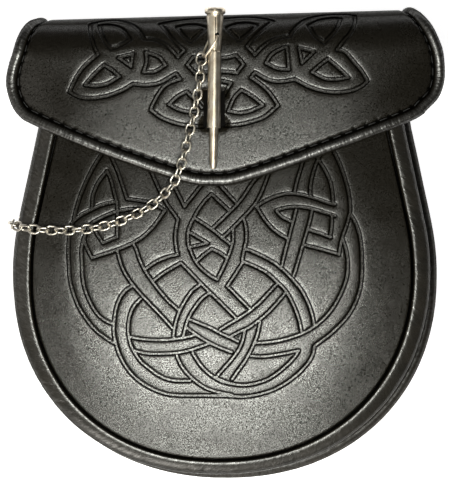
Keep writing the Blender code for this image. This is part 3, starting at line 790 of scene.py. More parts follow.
def facing_gloss(tree):
    """1 where a surface faces the eye and near 0 where it turns away, as dull leather looks."""
    turned_away = node(tree, "ShaderNodeLayerWeight").outputs["Facing"]
    return between(tree, turned_away, 0.22, 0.5, 1.0, 0.03)


def pressed_leather(name, dark, light, roughness):
    """Smooth black hide with a fine grain, and painted shade on the walls of the pressed lines."""
    made, tree, shader = new_material(name)
    where = millimetres(tree, turn=radians(33))
    speckle = noise_of(tree, where, 0.52, 2.0, 0.7)
    pores = noise_of(tree, where, 0.45, 2.0)
    cloud = noise_of(tree, where, 11.0, 1.0, 0.5)
    colour = blend_of(tree, between(tree, speckle, 0.35, 0.68), dark, light)
    painted_wall_shade = groove_shade(tree)
    # the walls of the pressed lines are painted near black and lose most of their gloss: painted
    # shade
    tree.links.new(blend_of(tree, painted_wall_shade, colour, [part * 0.25 for part in dark]),
                   shader.inputs["Base Color"])
    shine = between(tree, speckle, 0.34, 0.65, 0.08, 1.0)
    gloss = math_of(tree, "MULTIPLY", shine, facing_gloss(tree))
    open_leather = math_of(tree, "SUBTRACT", 1.0, math_of(tree, "MULTIPLY", painted_wall_shade, 0.8))
    tree.links.new(math_of(tree, "MULTIPLY", gloss, open_leather),
                   shader.inputs["Specular IOR Level"])
    rough = between(tree, cloud, 0.3, 0.7, roughness - 0.03, roughness + 0.03)
    tree.links.new(rough, shader.inputs["Roughness"])
    normal = bump_of(tree, cloud, 0.4, 0.3)
    normal = bump_of(tree, speckle, 0.05, 0.8, normal)
    normal = bump_of(tree, pores, 0.04, 0.9, normal)
    tree.links.new(normal, shader.inputs["Normal"])
    return made


def rolled_leather(name, dark, light, roughness, stretch, crease, depth, turn=0.0, dull=0.2,
                   ior=1.5):
    """Soft black leather creased across a roll; its UVs run along and round the roll."""
    made, tree, shader = new_material(name)
    along = millimetres(tree, "UV", stretch, turn)
    where = millimetres(tree)
    folds = noise_of(tree, along, crease, 4.0, 0.6, 0.8)
    places = between(tree, noise_of(tree, where, 13.0, 2.0), 0.42, 0.6, 0.3, 1.0)
    fine = noise_of(tree, where, 0.45, 2.0)
    cloud = noise_of(tree, where, 9.0, 3.0)
    painted_wall_shade = groove_shade(tree)
    colour = blend_of(tree, between(tree, cloud, 0.3, 0.7), dark, light)
    # where the groove attribute says so, the colour is painted near black and the gloss taken away:
    # painted shade
    tree.links.new(blend_of(tree, painted_wall_shade, colour, [part * 0.2 for part in dark]),
                   shader.inputs["Base Color"])
    shine = between(tree, folds, 0.35, 0.65, dull, 1.0)
    gloss = math_of(tree, "MULTIPLY", shine, facing_gloss(tree))
    open_leather = math_of(tree, "SUBTRACT", 1.0, math_of(tree, "MULTIPLY", painted_wall_shade, 0.95))
    tree.links.new(math_of(tree, "MULTIPLY", gloss, open_leather),
                   shader.inputs["Specular IOR Level"])
    rough = between(tree, folds, 0.3, 0.7, roughness + 0.06, roughness - 0.05)
    tree.links.new(rough, shader.inputs["Roughness"])
    normal = bump_of(tree, math_of(tree, "MULTIPLY", folds, places), depth, 0.8)
    normal = bump_of(tree, fine, 0.04, 0.5, normal)
    tree.links.new(normal, shader.inputs["Normal"])
    shader.inputs["IOR"].default_value = ior
    return made


def metal(name, colour, worn, roughness, size, stretch=(1.0, 1.0, 1.0)):
    """Steel with fine scratches and duller, darker patches."""
    made, tree, shader = new_material(name)
    where = millimetres(tree, stretch=stretch)
    scratches = noise_of(tree, where, size, 5.0, 0.7)
    patches = noise_of(tree, millimetres(tree), 4.0, 3.0)
    tree.links.new(blend_of(tree, between(tree, patches, 0.35, 0.7), colour, worn),
                   shader.inputs["Base Color"])
    shader.inputs["Metallic"].default_value = 1.0
    rough = between(tree, scratches, 0.3, 0.75, roughness - 0.06, roughness + 0.14)
    tree.links.new(rough, shader.inputs["Roughness"])
    tree.links.new(bump_of(tree, scratches, 0.02, 0.5), shader.inputs["Normal"])
    return made


def thread_material():
    made, tree, shader = new_material("thread")
    twist = millimetres(tree, "UV", (1.0, 0.35, 1.0))
    strands = node(tree, "ShaderNodeTexWave", Vector=twist, Scale=1.6, Distortion=0.6)
    strands.bands_direction = "DIAGONAL"
    colour = blend_of(tree, strands.outputs["Fac"], (0.004, 0.004, 0.004), (0.02, 0.02, 0.02))
    tree.links.new(colour, shader.inputs["Base Color"])
    shader.inputs["Roughness"].default_value = 0.7
    tree.links.new(bump_of(tree, strands.outputs["Fac"], 0.1, 0.6), shader.inputs["Normal"])
    return made


def floor_material():
    made, tree, shader = new_material("floor")
    cloud = noise_of(tree, millimetres(tree), 300.0, 2.0)
    tree.links.new(blend_of(tree, cloud, (0.86, 0.86, 0.86), (0.89, 0.89, 0.89)),
                   shader.inputs["Base Color"])
    shader.inputs["Roughness"].default_value = 0.9
    shader.inputs["Emission Color"].default_value = (1.0, 1.0, 1.0, 1.0)
    shader.inputs["Emission Strength"].default_value = 0.92
    return made


HIDE = pressed_leather("black_hide", (0.0045, 0.0037, 0.0022), (0.0135, 0.0113, 0.0073), 0.26)
SOFT = rolled_leather("soft_gusset_leather", (0.008, 0.007, 0.005), (0.018, 0.0155, 0.0112), 0.29,
                      (1.0, 0.34, 1.0), 1.0, 0.22, radians(38), dull=0.4, ior=1.58)
# lighter than the other leathers: the back roll's sheen is painted into its colour
BACK_EDGE_SHEEN = rolled_leather("back_edge_painted_sheen", (0.020, 0.0175, 0.014), (0.040, 0.035, 0.028), 0.38,
                           (1.0, 0.4, 1.0), 1.2, 0.08)
BINDING = rolled_leather("binding_leather", (0.005, 0.0042, 0.003), (0.011, 0.0095, 0.0068), 0.34,
                         (1.0, 0.22, 1.0), 0.8, 0.2, ior=1.85)
STEEL = metal("nickel_steel", (0.86, 0.79, 0.66), (0.60, 0.50, 0.38), 0.31, 0.5, (1.0, 0.12, 1.0))
BRIGHT_STEEL = metal("bright_steel", (0.66, 0.62, 0.55), (0.42, 0.39, 0.34), 0.27, 0.6)
THREAD = thread_material()
# black for the plate down in the slot and the inside of the peg's hole: painted shade
SHADE_BLACK = metal("painted_shade_black", (0.004, 0.004, 0.004), (0.008, 0.007, 0.006), 0.55, 0.8)


# ---------------------------------------------------------------- the front panel

DARKEST = 0.75  # the distance from a pressed line's middle at which its wall's painted shade is darkest
# the dents: their depth, their size and how far their painted shade reaches
DENT_DEPTH = 0.4
DENT_RADIUS = 0.5
DENT_SHADE = 0.3
SEAM_SHADE = 1.5  # the painted shade of the seam reaches this far over the flap's leather
PANEL_SHADE = 0.0001  # the panel's painted shade begins right at its edge
PANEL_EDGE_FALL, PANEL_EDGE_REACH = 1.6, 0.26
PANEL_KNOT_HEIGHT = 34.0  # the height that the panel's pressed lines are charted at
CROWN_STEPS = 400


def crown_table():
    """The dome's height at even steps from the middle line to the edge."""
    mirrored = [Vector((-crown.ring, crown.height)) for crown in PANEL_CROWN[:-1]]
    crowns = mirrored + [Vector((crown.ring, crown.height)) for crown in reversed(PANEL_CROWN)]
    line = smooth_line(crowns, 12)
    rings = np.linspace(0.0, 1.0, CROWN_STEPS + 1)
    heights = np.interp(rings, [point.x for point in line], [point.y for point in line])
    return heights.tolist()


CROWN_HEIGHTS = crown_table()
PANEL_LEVEL = inside(GROOVE, PANEL_EDGE_INSET)


def panel_height(x, y):
    """The dome of the front panel, lower towards the mouth."""
    place = min(ring_of(PANEL_LEVEL, x, y), 1.0) * CROWN_STEPS
    low = min(int(place), CROWN_STEPS - 1)
    part = place - low
    height = CROWN_HEIGHTS[low] * (1 - part) + CROWN_HEIGHTS[low + 1] * part
    kept = 1 - MOUTH_FLATTENING * eased(FLATTENING_FROM_Y, PANEL_TOP, y)
    sagged = SAG * exp(-(((y - SAG_Y) / SAG_REACH) ** 2))
    return PANEL_EDGE_HEIGHT + (height - PANEL_EDGE_HEIGHT) * kept - sagged


def panel_edge(distance):
    """How far the panel's outer skin falls at its cut edge."""
    return -PANEL_EDGE_FALL * exp(-((distance / PANEL_EDGE_REACH) ** 2))


def add_front_panel():
    boundary = spaced_points(outline(PANEL_LEVEL, PANEL_TOP)[::-1], 1.0)
    top = spaced_points([boundary[-1], boundary[0]], 1.5)[1:-1]
    boundary = boundary + top
    runs = [[charted(pixel, PANEL_KNOT_HEIGHT) for pixel in run] for run in PANEL_RUNS]
    dots = [charted(pixel, PANEL_KNOT_HEIGHT) for pixel in PANEL_DOTS]
    edge_tree = tree_of(boundary)

    def outer(point, height):
        fall = panel_edge(nearest(edge_tree, point))
        return (point[0], point[1], panel_height(point[0], point[1]) + height + fall)

    def inner(point):
        return (point[0], point[1], panel_height(point[0], point[1]) - LEATHER)

    mesh = sheet_mesh("front_panel", boundary, runs, [], (1.25, 1.25), outer, inner,
                      near_edge=(0.18, 0.36, 0.6, 1.0), dents=dots, seam_shade=PANEL_SHADE)
    new_piece("front_panel_embossed", mesh, HIDE, "front_panel", 75)


# ---------------------------------------------------------------- the back, the fold and the flap

def bent(across, down, out=0.0):
    """A place on the flat leather, counted from the fold's crest, as it lies on the sporran."""
    fold_y = FOLD_Y + FOLD_SLOPE * across
    drop = DROOP * abs(across / FLAP_HALF) ** DROOP_POWER * eased(0.0, 40.0, down)
    drop += FLAP_BEND * (max(down - QUARTER, 0.0) / BEND_REACH) ** 2
    if down < -QUARTER:
        return Vector((across, fold_y + down + QUARTER, BACK_Z - out))
    if down > QUARTER:
        return Vector((across, fold_y + QUARTER - down, FLAP_Z + out - drop))
    angle = down / FOLD_RADIUS
    radius = FOLD_RADIUS - drop + out
    return Vector((across, fold_y + radius * cos(angle), FOLD_Z + radius * sin(angle)))


def unbent(pixel):
    """Where a pixel of the photograph lies on the flat leather of the flap."""
    point = charted(pixel, FLAP_Z + LEATHER / 2)
    over = point.y - FOLD_Y - FOLD_SLOPE * point.x
    if over <= 0:
        return Vector((point.x, QUARTER - over))
    angle = acos(min(over / (FOLD_RADIUS + LEATHER / 2), 1.0))
    return Vector((point.x, angle * FOLD_RADIUS))


def flap_line(inset):
    """The flap's edge on the flat leather, this far inside its binding's outer edge."""
    return moved_in(smooth_line(FLAP_EDGE, 8), inset)


def back_line(inset):
    """The back's edge on the flat leather, from its right side round the bottom to its left."""
    line = outline(inside(BACK, inset), MOUTH_Y)
    flat = [Vector((point.x, point.y - FOLD_Y - FOLD_SLOPE * point.x - QUARTER)) for point in line]
    return flat[::-1]


LEATHER_EDGE = 2 * FLAP_ROLL - 0.45  # the binding is turned over the leather's edge
HIDE_STEP = 0.9
FLAP_EDGE_FALL, FLAP_EDGE_REACH = 1.5, 1.4
STITCH_INSET = 2 * FLAP_ROLL + 0.75
STITCH_PITCH = 5.3


def hide_boundary():
    """The whole sheet's edge on the flat leather, without a repeated point."""
    lower = back_line(2 * BACK_ROLL - 0.4)
    flap = flap_line(LEATHER_EDGE)
    left, right = lower[-1], lower[0]
    flap = [point for point in flap if point.y > max(left.y, right.y) + 1.5]
    return spaced_points([*lower, *flap, right], HIDE_STEP)[:-1]


def slot_hole():
    """The slot's edge on the flat leather, with round corners."""
    middle = Vector(((SLOT_LEFT + SLOT_RIGHT) / 2, (SLOT_BOTTOM + SLOT_TOP) / 2))
    half_across, half_up = (SLOT_RIGHT - SLOT_LEFT) / 2, (SLOT_TOP - SLOT_BOTTOM) / 2
    return [Vector((point.x, FOLD_Y + FOLD_SLOPE * point.x + QUARTER - point.y))
            for point in rounded_box(middle, half_across, half_up, SLOT_CORNER)]


def edge_rounding(distance):
    """How far the outer skin falls towards the seam."""
    return -FLAP_EDGE_FALL * exp(-((distance / FLAP_EDGE_REACH) ** 2))


def add_back_and_flap():
    boundary = hide_boundary()
    hole = slot_hole()
    runs = [[unbent(pixel) for pixel in run] for run in FLAP_RUNS]
    edge_tree = tree_of(boundary + hole)
    dents = stitch_ends(flap_line(STITCH_INSET + 0.7))

    def outer(point, height):
        fall = edge_rounding(nearest(edge_tree, point))
        return bent(point[0], point[1], LEATHER / 2 + height + fall)

    def inner(point):
        return bent(point[0], point[1], -LEATHER / 2)

    mesh = sheet_mesh("back_flap", boundary, runs, [hole], (1.3, 2.6), outer, inner,
                      near_edge=(0.5, 1.0, 1.5, 2.0, 2.6, 3.2), dents=dents, seam_shade=SEAM_SHADE,
                      shoulder=FLAP_SHOULDER_DROP)
    new_piece("back_flap_embossed", mesh, HIDE, "back_flap", 75)


def stitch_ends(line):
    """Where each stitch along the line goes into the leather."""
    return even_points(line, round(lengths_along(line)[-1] / STITCH_PITCH) + 1)


# ---------------------------------------------------------------- rolls

def roll_mesh(name, path, radius, around, displaced):
    """A roll along a path; displaced(along, angle) is added to its radius."""
    rows, lengths = [], lengths_along(path)
    up = Vector((0, 0, 1))
    for index, centre in enumerate(path):
        along = (path[min(index + 1, len(path) - 1)] - path[max(index - 1, 0)]).normalized()
        side = along.cross(up)
        side = side.normalized() if side.length > 1e-3 else Vector((1, 0, 0))
        up = side.cross(along).normalized()
        row = []
        for step in range(around):
            angle = 2 * pi * step / around
            out = side * cos(angle) + up * sin(angle)
            row.append(centre + out * (radius + displaced(lengths[index], angle)))
        rows.append(row)
    return ring_mesh(name, rows, lengths, radius)


def ring_mesh(name, rows, lengths, radius):
    """A closed skin through rings of points, with round ends and UVs in millimetres."""
    around = len(rows[0])
    points = [placed(point) for row in rows for point in row]
    faces, uvs = [], []
    for row in range(len(rows) - 1):
        for step in range(around):
            after = (step + 1) % around
            faces.append((row * around + step, (row + 1) * around + step,
                          (row + 1) * around + after, row * around + after))
            low, high = 2 * pi * radius * step / around, 2 * pi * radius * (step + 1) / around
            uvs.extend(((lengths[row], low), (lengths[row + 1], low),
                        (lengths[row + 1], high), (lengths[row], high)))
    faces.append(tuple(range(around)))
    faces.append(tuple(reversed(range((len(rows) - 1) * around, len(rows) * around))))
    uvs.extend([(0.0, 0.0)] * around + [(lengths[-1], 0.0)] * around)
    mesh = bpy.data.meshes.new(name)
    mesh.from_pydata(points, [], faces)
    layer = mesh.uv_layers.new(name="UVMap")
    layer.data.foreach_set("uv", [part for uv in uvs for part in uv])
    tidy_normals(mesh)
    return mesh


def binding_crease(along, angle):
    """Fine cross wrinkles of a strip turned over an edge."""
    fine = noise.noise(Vector((along / 0.8, angle * 0.5, 3.0)))
    deep = noise.noise(Vector((along / 2.2, angle * 0.6, 5.0)))
    broad = noise.noise(Vector((along / 9.0, angle * 0.7, 9.0)))
    return 0.10 * fine - 0.12 * abs(deep) + 0.12 * broad


def back_crease(along, angle):
    return 0.04 * noise.noise(Vector((along / 3.0, angle, 5.0))) + 0.08 * noise.noise(
        Vector((along / 16.0, angle * 0.7, 2.0)))


ROLL_AROUND = 22  # points round a roll
FLAP_ROLL_STEP, BACK_ROLL_STEP = 0.33, 0.8  # between its rings


def add_bindings():
    line = [bent(*point) for point in flap_line(FLAP_ROLL)]
    path = spaced_points(line, FLAP_ROLL_STEP)
    mesh = roll_mesh("flap_binding", path, FLAP_ROLL, ROLL_AROUND, binding_crease)
    new_piece("flap_binding_roll", mesh, BINDING, "flap_binding", 80)
    edge = outline(inside(BACK, BACK_ROLL), MOUTH_Y + CLEARANCE)  # its ends meet the flap's roll
    path = spaced_points([Vector((*point, BACK_ROLL)) for point in edge], BACK_ROLL_STEP)
    mesh = roll_mesh("back_binding", path, BACK_ROLL, ROLL_AROUND, back_crease)
    new_piece("back_binding_roll", mesh, BACK_EDGE_SHEEN, "back_binding", 80)


# ---------------------------------------------------------------- the gusset

GUSSET_OFFSET = -1.0  # its thickness lies inside the outer skin
GROOVE_POINTS = 10  # of each section's points, those in the groove beside the panel, painted black as shade
GUSSET_SIDE_STEPS, GUSSET_BOTTOM_STEPS = 160, 380


def gusset_section(groove, foot, rim):
    """The gusset's outer skin at one place round the pouch."""
    bases = {"groove": groove, "foot": foot}
    points = [Vector((*bases[skin.base].lerp(rim, skin.reach), skin.height))
              for skin in GUSSET_SKIN]
    return smooth_line(points, 4)


def gusset_wrinkle(along, across):
    """Soft creases of thin leather that was turned and puckered round a curve."""
    broad = noise.noise(Vector((along / 14.0, across / 9.0, 1.0)))
    slanted = noise.noise(Vector(((along + 0.9 * across) / 2.4, across / 8.0, 4.0)))
    puckered = eased(-0.15, 0.3, noise.noise(Vector((along / 26.0, 7.0, 1.0))))
    return 0.12 * broad - (0.08 + 0.26 * puckered) * abs(slanted)


def gusset_line(level):
    return outline(level, MOUTH_Y, 1.0, GUSSET_SIDE_STEPS, GUSSET_BOTTOM_STEPS)


def add_gusset():
    grooves, rims = gusset_line(GROOVE), gusset_line(RIM)
    feet = gusset_line(inside(BACK, FOOT_INSET))
    sections = [gusset_section(*three) for three in zip(grooves, feet, rims)]
    lengths = lengths_along(rims)
    points = []
    for at, section in enumerate(sections):
        across = lengths_along(section)
        ahead = (rims[min(at + 1, len(rims) - 1)] - rims[max(at - 1, 0)]).to_3d()
        for index, point in enumerate(section):
            down = section[min(index + 1, len(section) - 1)] - section[max(index - 1, 0)]
            out = down.cross(ahead).normalized()
            if index > GROOVE_POINTS:
                point = point + out * gusset_wrinkle(lengths[at], across[index])
            points.append(placed(point))
    wide = len(sections[0])
    faces, uvs = [], []
    for row in range(len(sections) - 1):
        across = lengths_along(sections[row])
        for index in range(wide - 1):
            start = row * wide + index
            faces.append((start, start + 1, start + wide + 1, start + wide))
            uvs.extend(((lengths[row], across[index]), (lengths[row], across[index + 1]),
                        (lengths[row + 1], across[index + 1]), (lengths[row + 1], across[index])))
    mesh = bpy.data.meshes.new("gusset")
    mesh.from_pydata(points, [], faces)
    # the groove's points get the darkest painted shade
    shade = [DARKEST] * GROOVE_POINTS + [FAR] * (wide - GROOVE_POINTS)
    mesh.attributes.new("groove", "FLOAT", "POINT").data.foreach_set("value", shade * len(sections))
    layer = mesh.uv_layers.new(name="UVMap")
    layer.data.foreach_set("uv", [part for uv in uvs for part in uv])
    piece = new_piece("gusset_soft", mesh, SOFT, "gusset", 80)
    modifier = piece.modifiers.new("thickness", "SOLIDIFY")
    modifier.thickness = GUSSET_LEATHER * MILLIMETRE
    modifier.offset = GUSSET_OFFSET


# ---------------------------------------------------------------- stitches

THREAD_RADIUS = 0.36
STITCH_OUTS = (-0.35, 0.2, 0.3, 0.3, 0.3, 0.2, -0.35)  # from the leather's middle, end to end
STITCH_PARTS = 8  # of the pitch: the stitch takes its inner ones


def joined(name, meshes):
    """Several meshes as one."""
    work = bmesh.new()
    for mesh in meshes:
        work.from_mesh(mesh)
        bpy.data.meshes.remove(mesh)
    made = bpy.data.meshes.new(name)
    work.to_mesh(made)
    work.free()
    return made


def round_end(length, radius):
    """How much thinner a thread is near its two ends."""
    def displaced(along, angle):
        left = min(along, length - along) / radius
        return radius * (sqrt(max(1 - (1 - min(left, 1.0)) ** 2, 0.01)) - 1)
    return displaced


def stitch_mesh(points):
    """One thread that dips into the leather at both ends."""
    path = spaced_points(smooth_line(points, 6), 0.3)
    length = lengths_along(path)[-1]
    return roll_mesh("stitch", path, THREAD_RADIUS, 8, round_end(length, THREAD_RADIUS))


def add_flap_stitches():
    line = flap_line(STITCH_INSET)
    total = lengths_along(line)[-1]
    count = round(total / STITCH_PITCH)
    places = even_points(line, count * STITCH_PARTS + 1)
    meshes = []
    for number in range(count):
        start = number * STITCH_PARTS + 1
        run = places[start:start + len(STITCH_OUTS)]
        meshes.append(stitch_mesh([bent(*point, out) for point, out in zip(run, STITCH_OUTS)]))
    new_piece("flap_stitches", joined("flap_stitches", meshes), THREAD)


# ---------------------------------------------------------------- belt loops

LOOP_X, LOOP_WIDTH, LOOP_FROM_Y, LOOP_TO_Y, LOOP_CORNER = 42.0, 24.0, -8.0, 62.0, 3.0
LOOP_THICKNESS = BACK_Z - LEATHER / 2 - CLEARANCE
LOOP_SEAM_INSET, LOOP_SEAM_HEIGHT = 3.0, 9.0  # of the box of stitches at each end
LOOP_STITCH = 3.6
LOOP_THREAD = ((0.08, 0.9), (0.3, 0.5), (0.5, 0.45), (0.7, 0.5), (0.92, 0.9))  # part and depth


def strap_boundary(x):
    """The outline of one loop, with round corners."""
    middle = Vector((x, (LOOP_FROM_Y + LOOP_TO_Y) / 2))
    loop = rounded_box(middle, LOOP_WIDTH / 2, (LOOP_TO_Y - LOOP_FROM_Y) / 2, LOOP_CORNER)
    return spaced_points([*loop, loop[0]], 1.0)[:0:-1]


def strap_stitches(x):
    """The rows of stitches that box in each end of the loop."""
    rows = []
    half = LOOP_WIDTH / 2 - LOOP_SEAM_INSET
    lows = (LOOP_FROM_Y + LOOP_SEAM_INSET, LOOP_TO_Y - LOOP_SEAM_INSET - LOOP_SEAM_HEIGHT)
    for low in lows:
        for y in (low, low + LOOP_SEAM_HEIGHT):
            rows.append((Vector((x - half, y)), Vector((x + half, y))))
    for side in (-half, half):
        for low in lows:
            rows.append((Vector((x + side, low)), Vector((x + side, low + LOOP_SEAM_HEIGHT))))
    return rows


def add_belt_loop(side, x):
    boundary = strap_boundary(x)
    edge_tree = tree_of(boundary)
    rows = strap_stitches(x)

    def outer(point, height):
        away = nearest(edge_tree, point)
        return (point[0], point[1], 0.12 + 0.7 * exp(-away / 0.5) - height)

    def inner(point):
        return (point[0], point[1], LOOP_THICKNESS)

    mesh = sheet_mesh(f"belt_loop_{side}", boundary, rows, [], (1.2, 1.2), outer, inner,
                      near_edge=(0.4, 0.9))
    new_piece(f"belt_loop_{side}_strap", mesh, HIDE, f"belt_loop_{side}", 75)
    meshes = []
    for start, end in rows:
        places = spaced_points([start, end], LOOP_STITCH)
        for first, last in zip(places, places[1:]):
            line = [Vector((*first.lerp(last, part), depth)) for part, depth in LOOP_THREAD]
            meshes.append(stitch_mesh(line))
    new_piece(f"belt_loop_{side}_stitches", joined("stitches", meshes), THREAD)


# ---------------------------------------------------------------- the closure

TUBE_RADIUS, TUBE_FOOT_RADIUS, TUBE_BORE = 2.8, 2.95, 2.2
PEG_AXIS_Z = FLAP_Z + LEATHER / 2 + CLEARANCE + TUBE_FOOT_RADIUS
PEG_TOP = Vector((-4.45, 101.0, PEG_AXIS_Z))
PEG_LEAN = radians(0.68)
TUBE_FROM, TUBE_TO = 18.8, 51.9
POST_WIDTH = 3.4
POST_FROM, POST_TO = 36.0, 50.4
PLATE_WIDTH, PLATE_LENGTH, PLATE_THICKNESS = 12.0, 19.0, 1.0
PLATE_Z = 35.0 + CLEARANCE
PLATE_FOOT_Z = 30.6
TurnedPoint = namedtuple("TurnedPoint", "radius along")
PEG_PROFILE = (
    TurnedPoint(0.0, 0.0),
    TurnedPoint(3.3, 0.0),
    TurnedPoint(3.9, 0.15),
    TurnedPoint(4.35, 0.6),
    TurnedPoint(4.5, 1.2),
    TurnedPoint(4.5, 2.1),
    TurnedPoint(4.3, 2.6),
    TurnedPoint(3.65, 3.0),
    TurnedPoint(3.55, 3.3),
    TurnedPoint(3.6, 4.2),
    TurnedPoint(2.65, 18.2),
    TurnedPoint(2.4, 18.5),
    TurnedPoint(1.85, 18.5),
    TurnedPoint(2.0, 52.0),
    TurnedPoint(1.55, 67.8),
    TurnedPoint(1.42, 68.8),
    TurnedPoint(1.05, 69.4),
    TurnedPoint(0.0, 69.6),
)
TUBE_PROFILE = (
    TurnedPoint(TUBE_BORE, TUBE_FROM),
    TurnedPoint(TUBE_RADIUS - 0.15, TUBE_FROM),
    TurnedPoint(TUBE_RADIUS, TUBE_FROM + 0.2),
    TurnedPoint(TUBE_FOOT_RADIUS, TUBE_TO - 0.2),
    TurnedPoint(TUBE_FOOT_RADIUS - 0.15, TUBE_TO),
    TurnedPoint(TUBE_BORE, TUBE_TO),
    TurnedPoint(TUBE_BORE, TUBE_FROM),
)
PEG_STEPS = 56
PEG_HOLE_ALONG = 11.8
PEG_HOLE_RADIUS = 0.95
PEG_HOLE_TURN = radians(21)
DRILL_LENGTH = 12
RING_WIRE = 0.95
RING_PULL = Vector((-4.9, -9.6, 0.0))
RING_HANG = 0.05  # the part of that way by which the wire lies off the hole's middle
RING_SHAPE = (  # parts of the way through the hole, in mm, and of the way that the ring is pulled
    (0.0, 0.0), (3.6, 0.0), (4.6, 0.1), (4.7, 0.3), (3.6, 0.65), (1.9, 0.92), (0.0, 1.0),
    (-1.9, 0.92), (-3.1, 0.65), (-3.9, 0.3), (-4.1, 0.1), (-3.6, 0.0),
)


def along_peg(distance):
    """A point on the peg's axis, this far from the top of its head."""
    return PEG_TOP + distance * Vector((-sin(PEG_LEAN), -cos(PEG_LEAN), 0.0))


def peg_frame():
    """Turns a shape that was turned round Z so that it lies along the peg."""
    turn = Matrix.Rotation(-PEG_LEAN, 4, "Z") @ Matrix.Rotation(radians(-90), 4, "X")
    return Matrix.Translation(placed(PEG_TOP)) @ turn


def turned_mesh(name, profile, steps, stands_at):
    """Points of radius and height in millimetres, turned all the way round Z and then placed."""
    work = bmesh.new()
    made = [work.verts.new(Vector((radius, 0, height)) * MILLIMETRE) for radius, height in profile]
    edges = [work.edges.new(pair) for pair in zip(made, made[1:])]
    bmesh.ops.spin(work, geom=[*made, *edges], cent=(0, 0, 0), axis=(0, 0, 1),
                   angle=2 * pi, steps=steps, use_merge=True, use_duplicate=False)
    bmesh.ops.remove_doubles(work, verts=work.verts, dist=1e-6)
    bmesh.ops.recalc_face_normals(work, faces=work.faces)
    mesh = bpy.data.meshes.new(name)
    work.to_mesh(mesh)
    work.free()
    mesh.transform(stands_at)
    return mesh


def along_peg_mesh(name, profile):
    """A shape turned round the peg's axis, from its points down from the head."""
    downwards = [(point.radius, -point.along) for point in profile]
    return turned_mesh(name, downwards, PEG_STEPS, peg_frame())


def box_mesh(name, low, high, corner=0.0):
    """A box between two corners, whose upright edges are rounded."""
    work = bmesh.new()
    bmesh.ops.create_cube(work, size=1.0)
    low, high = placed(low), placed(high)
    for vertex in work.verts:
        for axis in range(3):
            vertex.co[axis] = high[axis] if vertex.co[axis] > 0 else low[axis]
    if corner:
        upright = [edge for edge in work.edges
                   if abs(edge.verts[0].co.z - edge.verts[1].co.z) > 1e-6]
        bmesh.ops.bevel(work, geom=upright, offset=corner * MILLIMETRE, segments=6,
                        profile=0.5, affect="EDGES")
    mesh = bpy.data.meshes.new(name)
    work.to_mesh(mesh)
    work.free()
    return mesh


def combined(name, mesh, operation, others):
    """The mesh after these boolean operations with the other meshes."""
    piece = bpy.data.objects.new(name, mesh)
    bpy.context.scene.collection.objects.link(piece)
    tools = []
    for other in others:
        tool = bpy.data.objects.new("tool", other)
        bpy.context.scene.collection.objects.link(tool)
        tools.append(tool)
        modifier = piece.modifiers.new("combined", "BOOLEAN")
        modifier.operation = operation
        modifier.object = tool
        modifier.solver = "EXACT"
    bpy.context.view_layer.update()
    finished = piece.evaluated_get(bpy.context.evaluated_depsgraph_get())
    made = bpy.data.meshes.new_from_object(finished)
    for used in (piece, *tools):
        bpy.data.objects.remove(used)
    made.name = name
    return made


def add_receiver_tube():
    """The tube on its post, and the plate that holds the post to the panel, black as painted shade.
    """
    middle = along_peg((POST_FROM + POST_TO) / 2)
    half = Vector((POST_WIDTH / 2, (POST_TO - POST_FROM) / 2, 0.0))
    low, high = middle - half, middle + half
    low.z, high.z = PLATE_Z, PEG_AXIS_Z - (TUBE_BORE + TUBE_RADIUS) / 2
    post = box_mesh("tube_post", low, high)
    half = Vector((PLATE_WIDTH / 2, PLATE_LENGTH / 2, 0.0))
    low, high = middle - half, middle + half
    low.z, high.z = PLATE_FOOT_Z, PLATE_Z + PLATE_THICKNESS
    plate = box_mesh("tube_plate", low, high, SLOT_CORNER)
    mesh = combined("receiver_tube", along_peg_mesh("tube", TUBE_PROFILE), "UNION", [post, plate])
    piece = new_piece("receiver_tube_turned", mesh, STEEL, "receiver_tube", 35)
    mesh.materials.append(SHADE_BLACK)
    # faces below the flap's top, the plate and the post's foot in the slot, are painted black as
    # shade
    top = placed((0, 0, FLAP_Z)).z
    for face in mesh.polygons:
        face.material_index = int(face.center.z < top)
    return piece


def peg_hole_direction():
    return Vector((sin(PEG_HOLE_TURN), 0.0, cos(PEG_HOLE_TURN)))


def add_peg():
    """The turned pin, with its cross hole drilled."""
    work = bmesh.new()
    aim = Vector((0, 0, 1)).rotation_difference(peg_hole_direction()).to_matrix().to_4x4()
    bmesh.ops.create_cone(work, cap_ends=True, segments=24, radius1=PEG_HOLE_RADIUS * MILLIMETRE,
                          radius2=PEG_HOLE_RADIUS * MILLIMETRE, depth=DRILL_LENGTH * MILLIMETRE,
                          matrix=Matrix.Translation(placed(along_peg(PEG_HOLE_ALONG))) @ aim)
    drill = bpy.data.meshes.new("peg_drill")
    work.to_mesh(drill)
    work.free()
    mesh = combined("peg", along_peg_mesh("peg", PEG_PROFILE), "DIFFERENCE", [drill])
    new_piece("peg_turned", mesh, STEEL, "peg", 30)
    mesh.materials.append(SHADE_BLACK)
    # the inside of the cross hole is painted black as shade
    middle, aim = placed(along_peg(PEG_HOLE_ALONG)), peg_hole_direction()
    for face in mesh.polygons:
        away = (face.center - middle).cross(aim).length
        face.material_index = int(away < 1.01 * PEG_HOLE_RADIUS * MILLIMETRE)


def wire_loop(name, path, radius, reference, around=12):
    """A closed ring of round wire along a closed path in millimetres."""
    points, faces = [], []
    for index, centre in enumerate(path):
        along = (path[(index + 1) % len(path)] - path[index - 1]).normalized()
        side = along.cross(reference).normalized()
        up = side.cross(along)
        for step in range(around):
            angle = 2 * pi * step / around
            points.append((centre + (side * cos(angle) + up * sin(angle)) * radius) * MILLIMETRE)
    for row in range(len(path)):
        for step in range(around):
            ahead, after = (row + 1) % len(path), (step + 1) % around
            faces.append((row * around + step, ahead * around + step,
                          ahead * around + after, row * around + after))
    mesh = bpy.data.meshes.new(name)
    mesh.from_pydata(points, [], faces)
    tidy_normals(mesh)
    return mesh


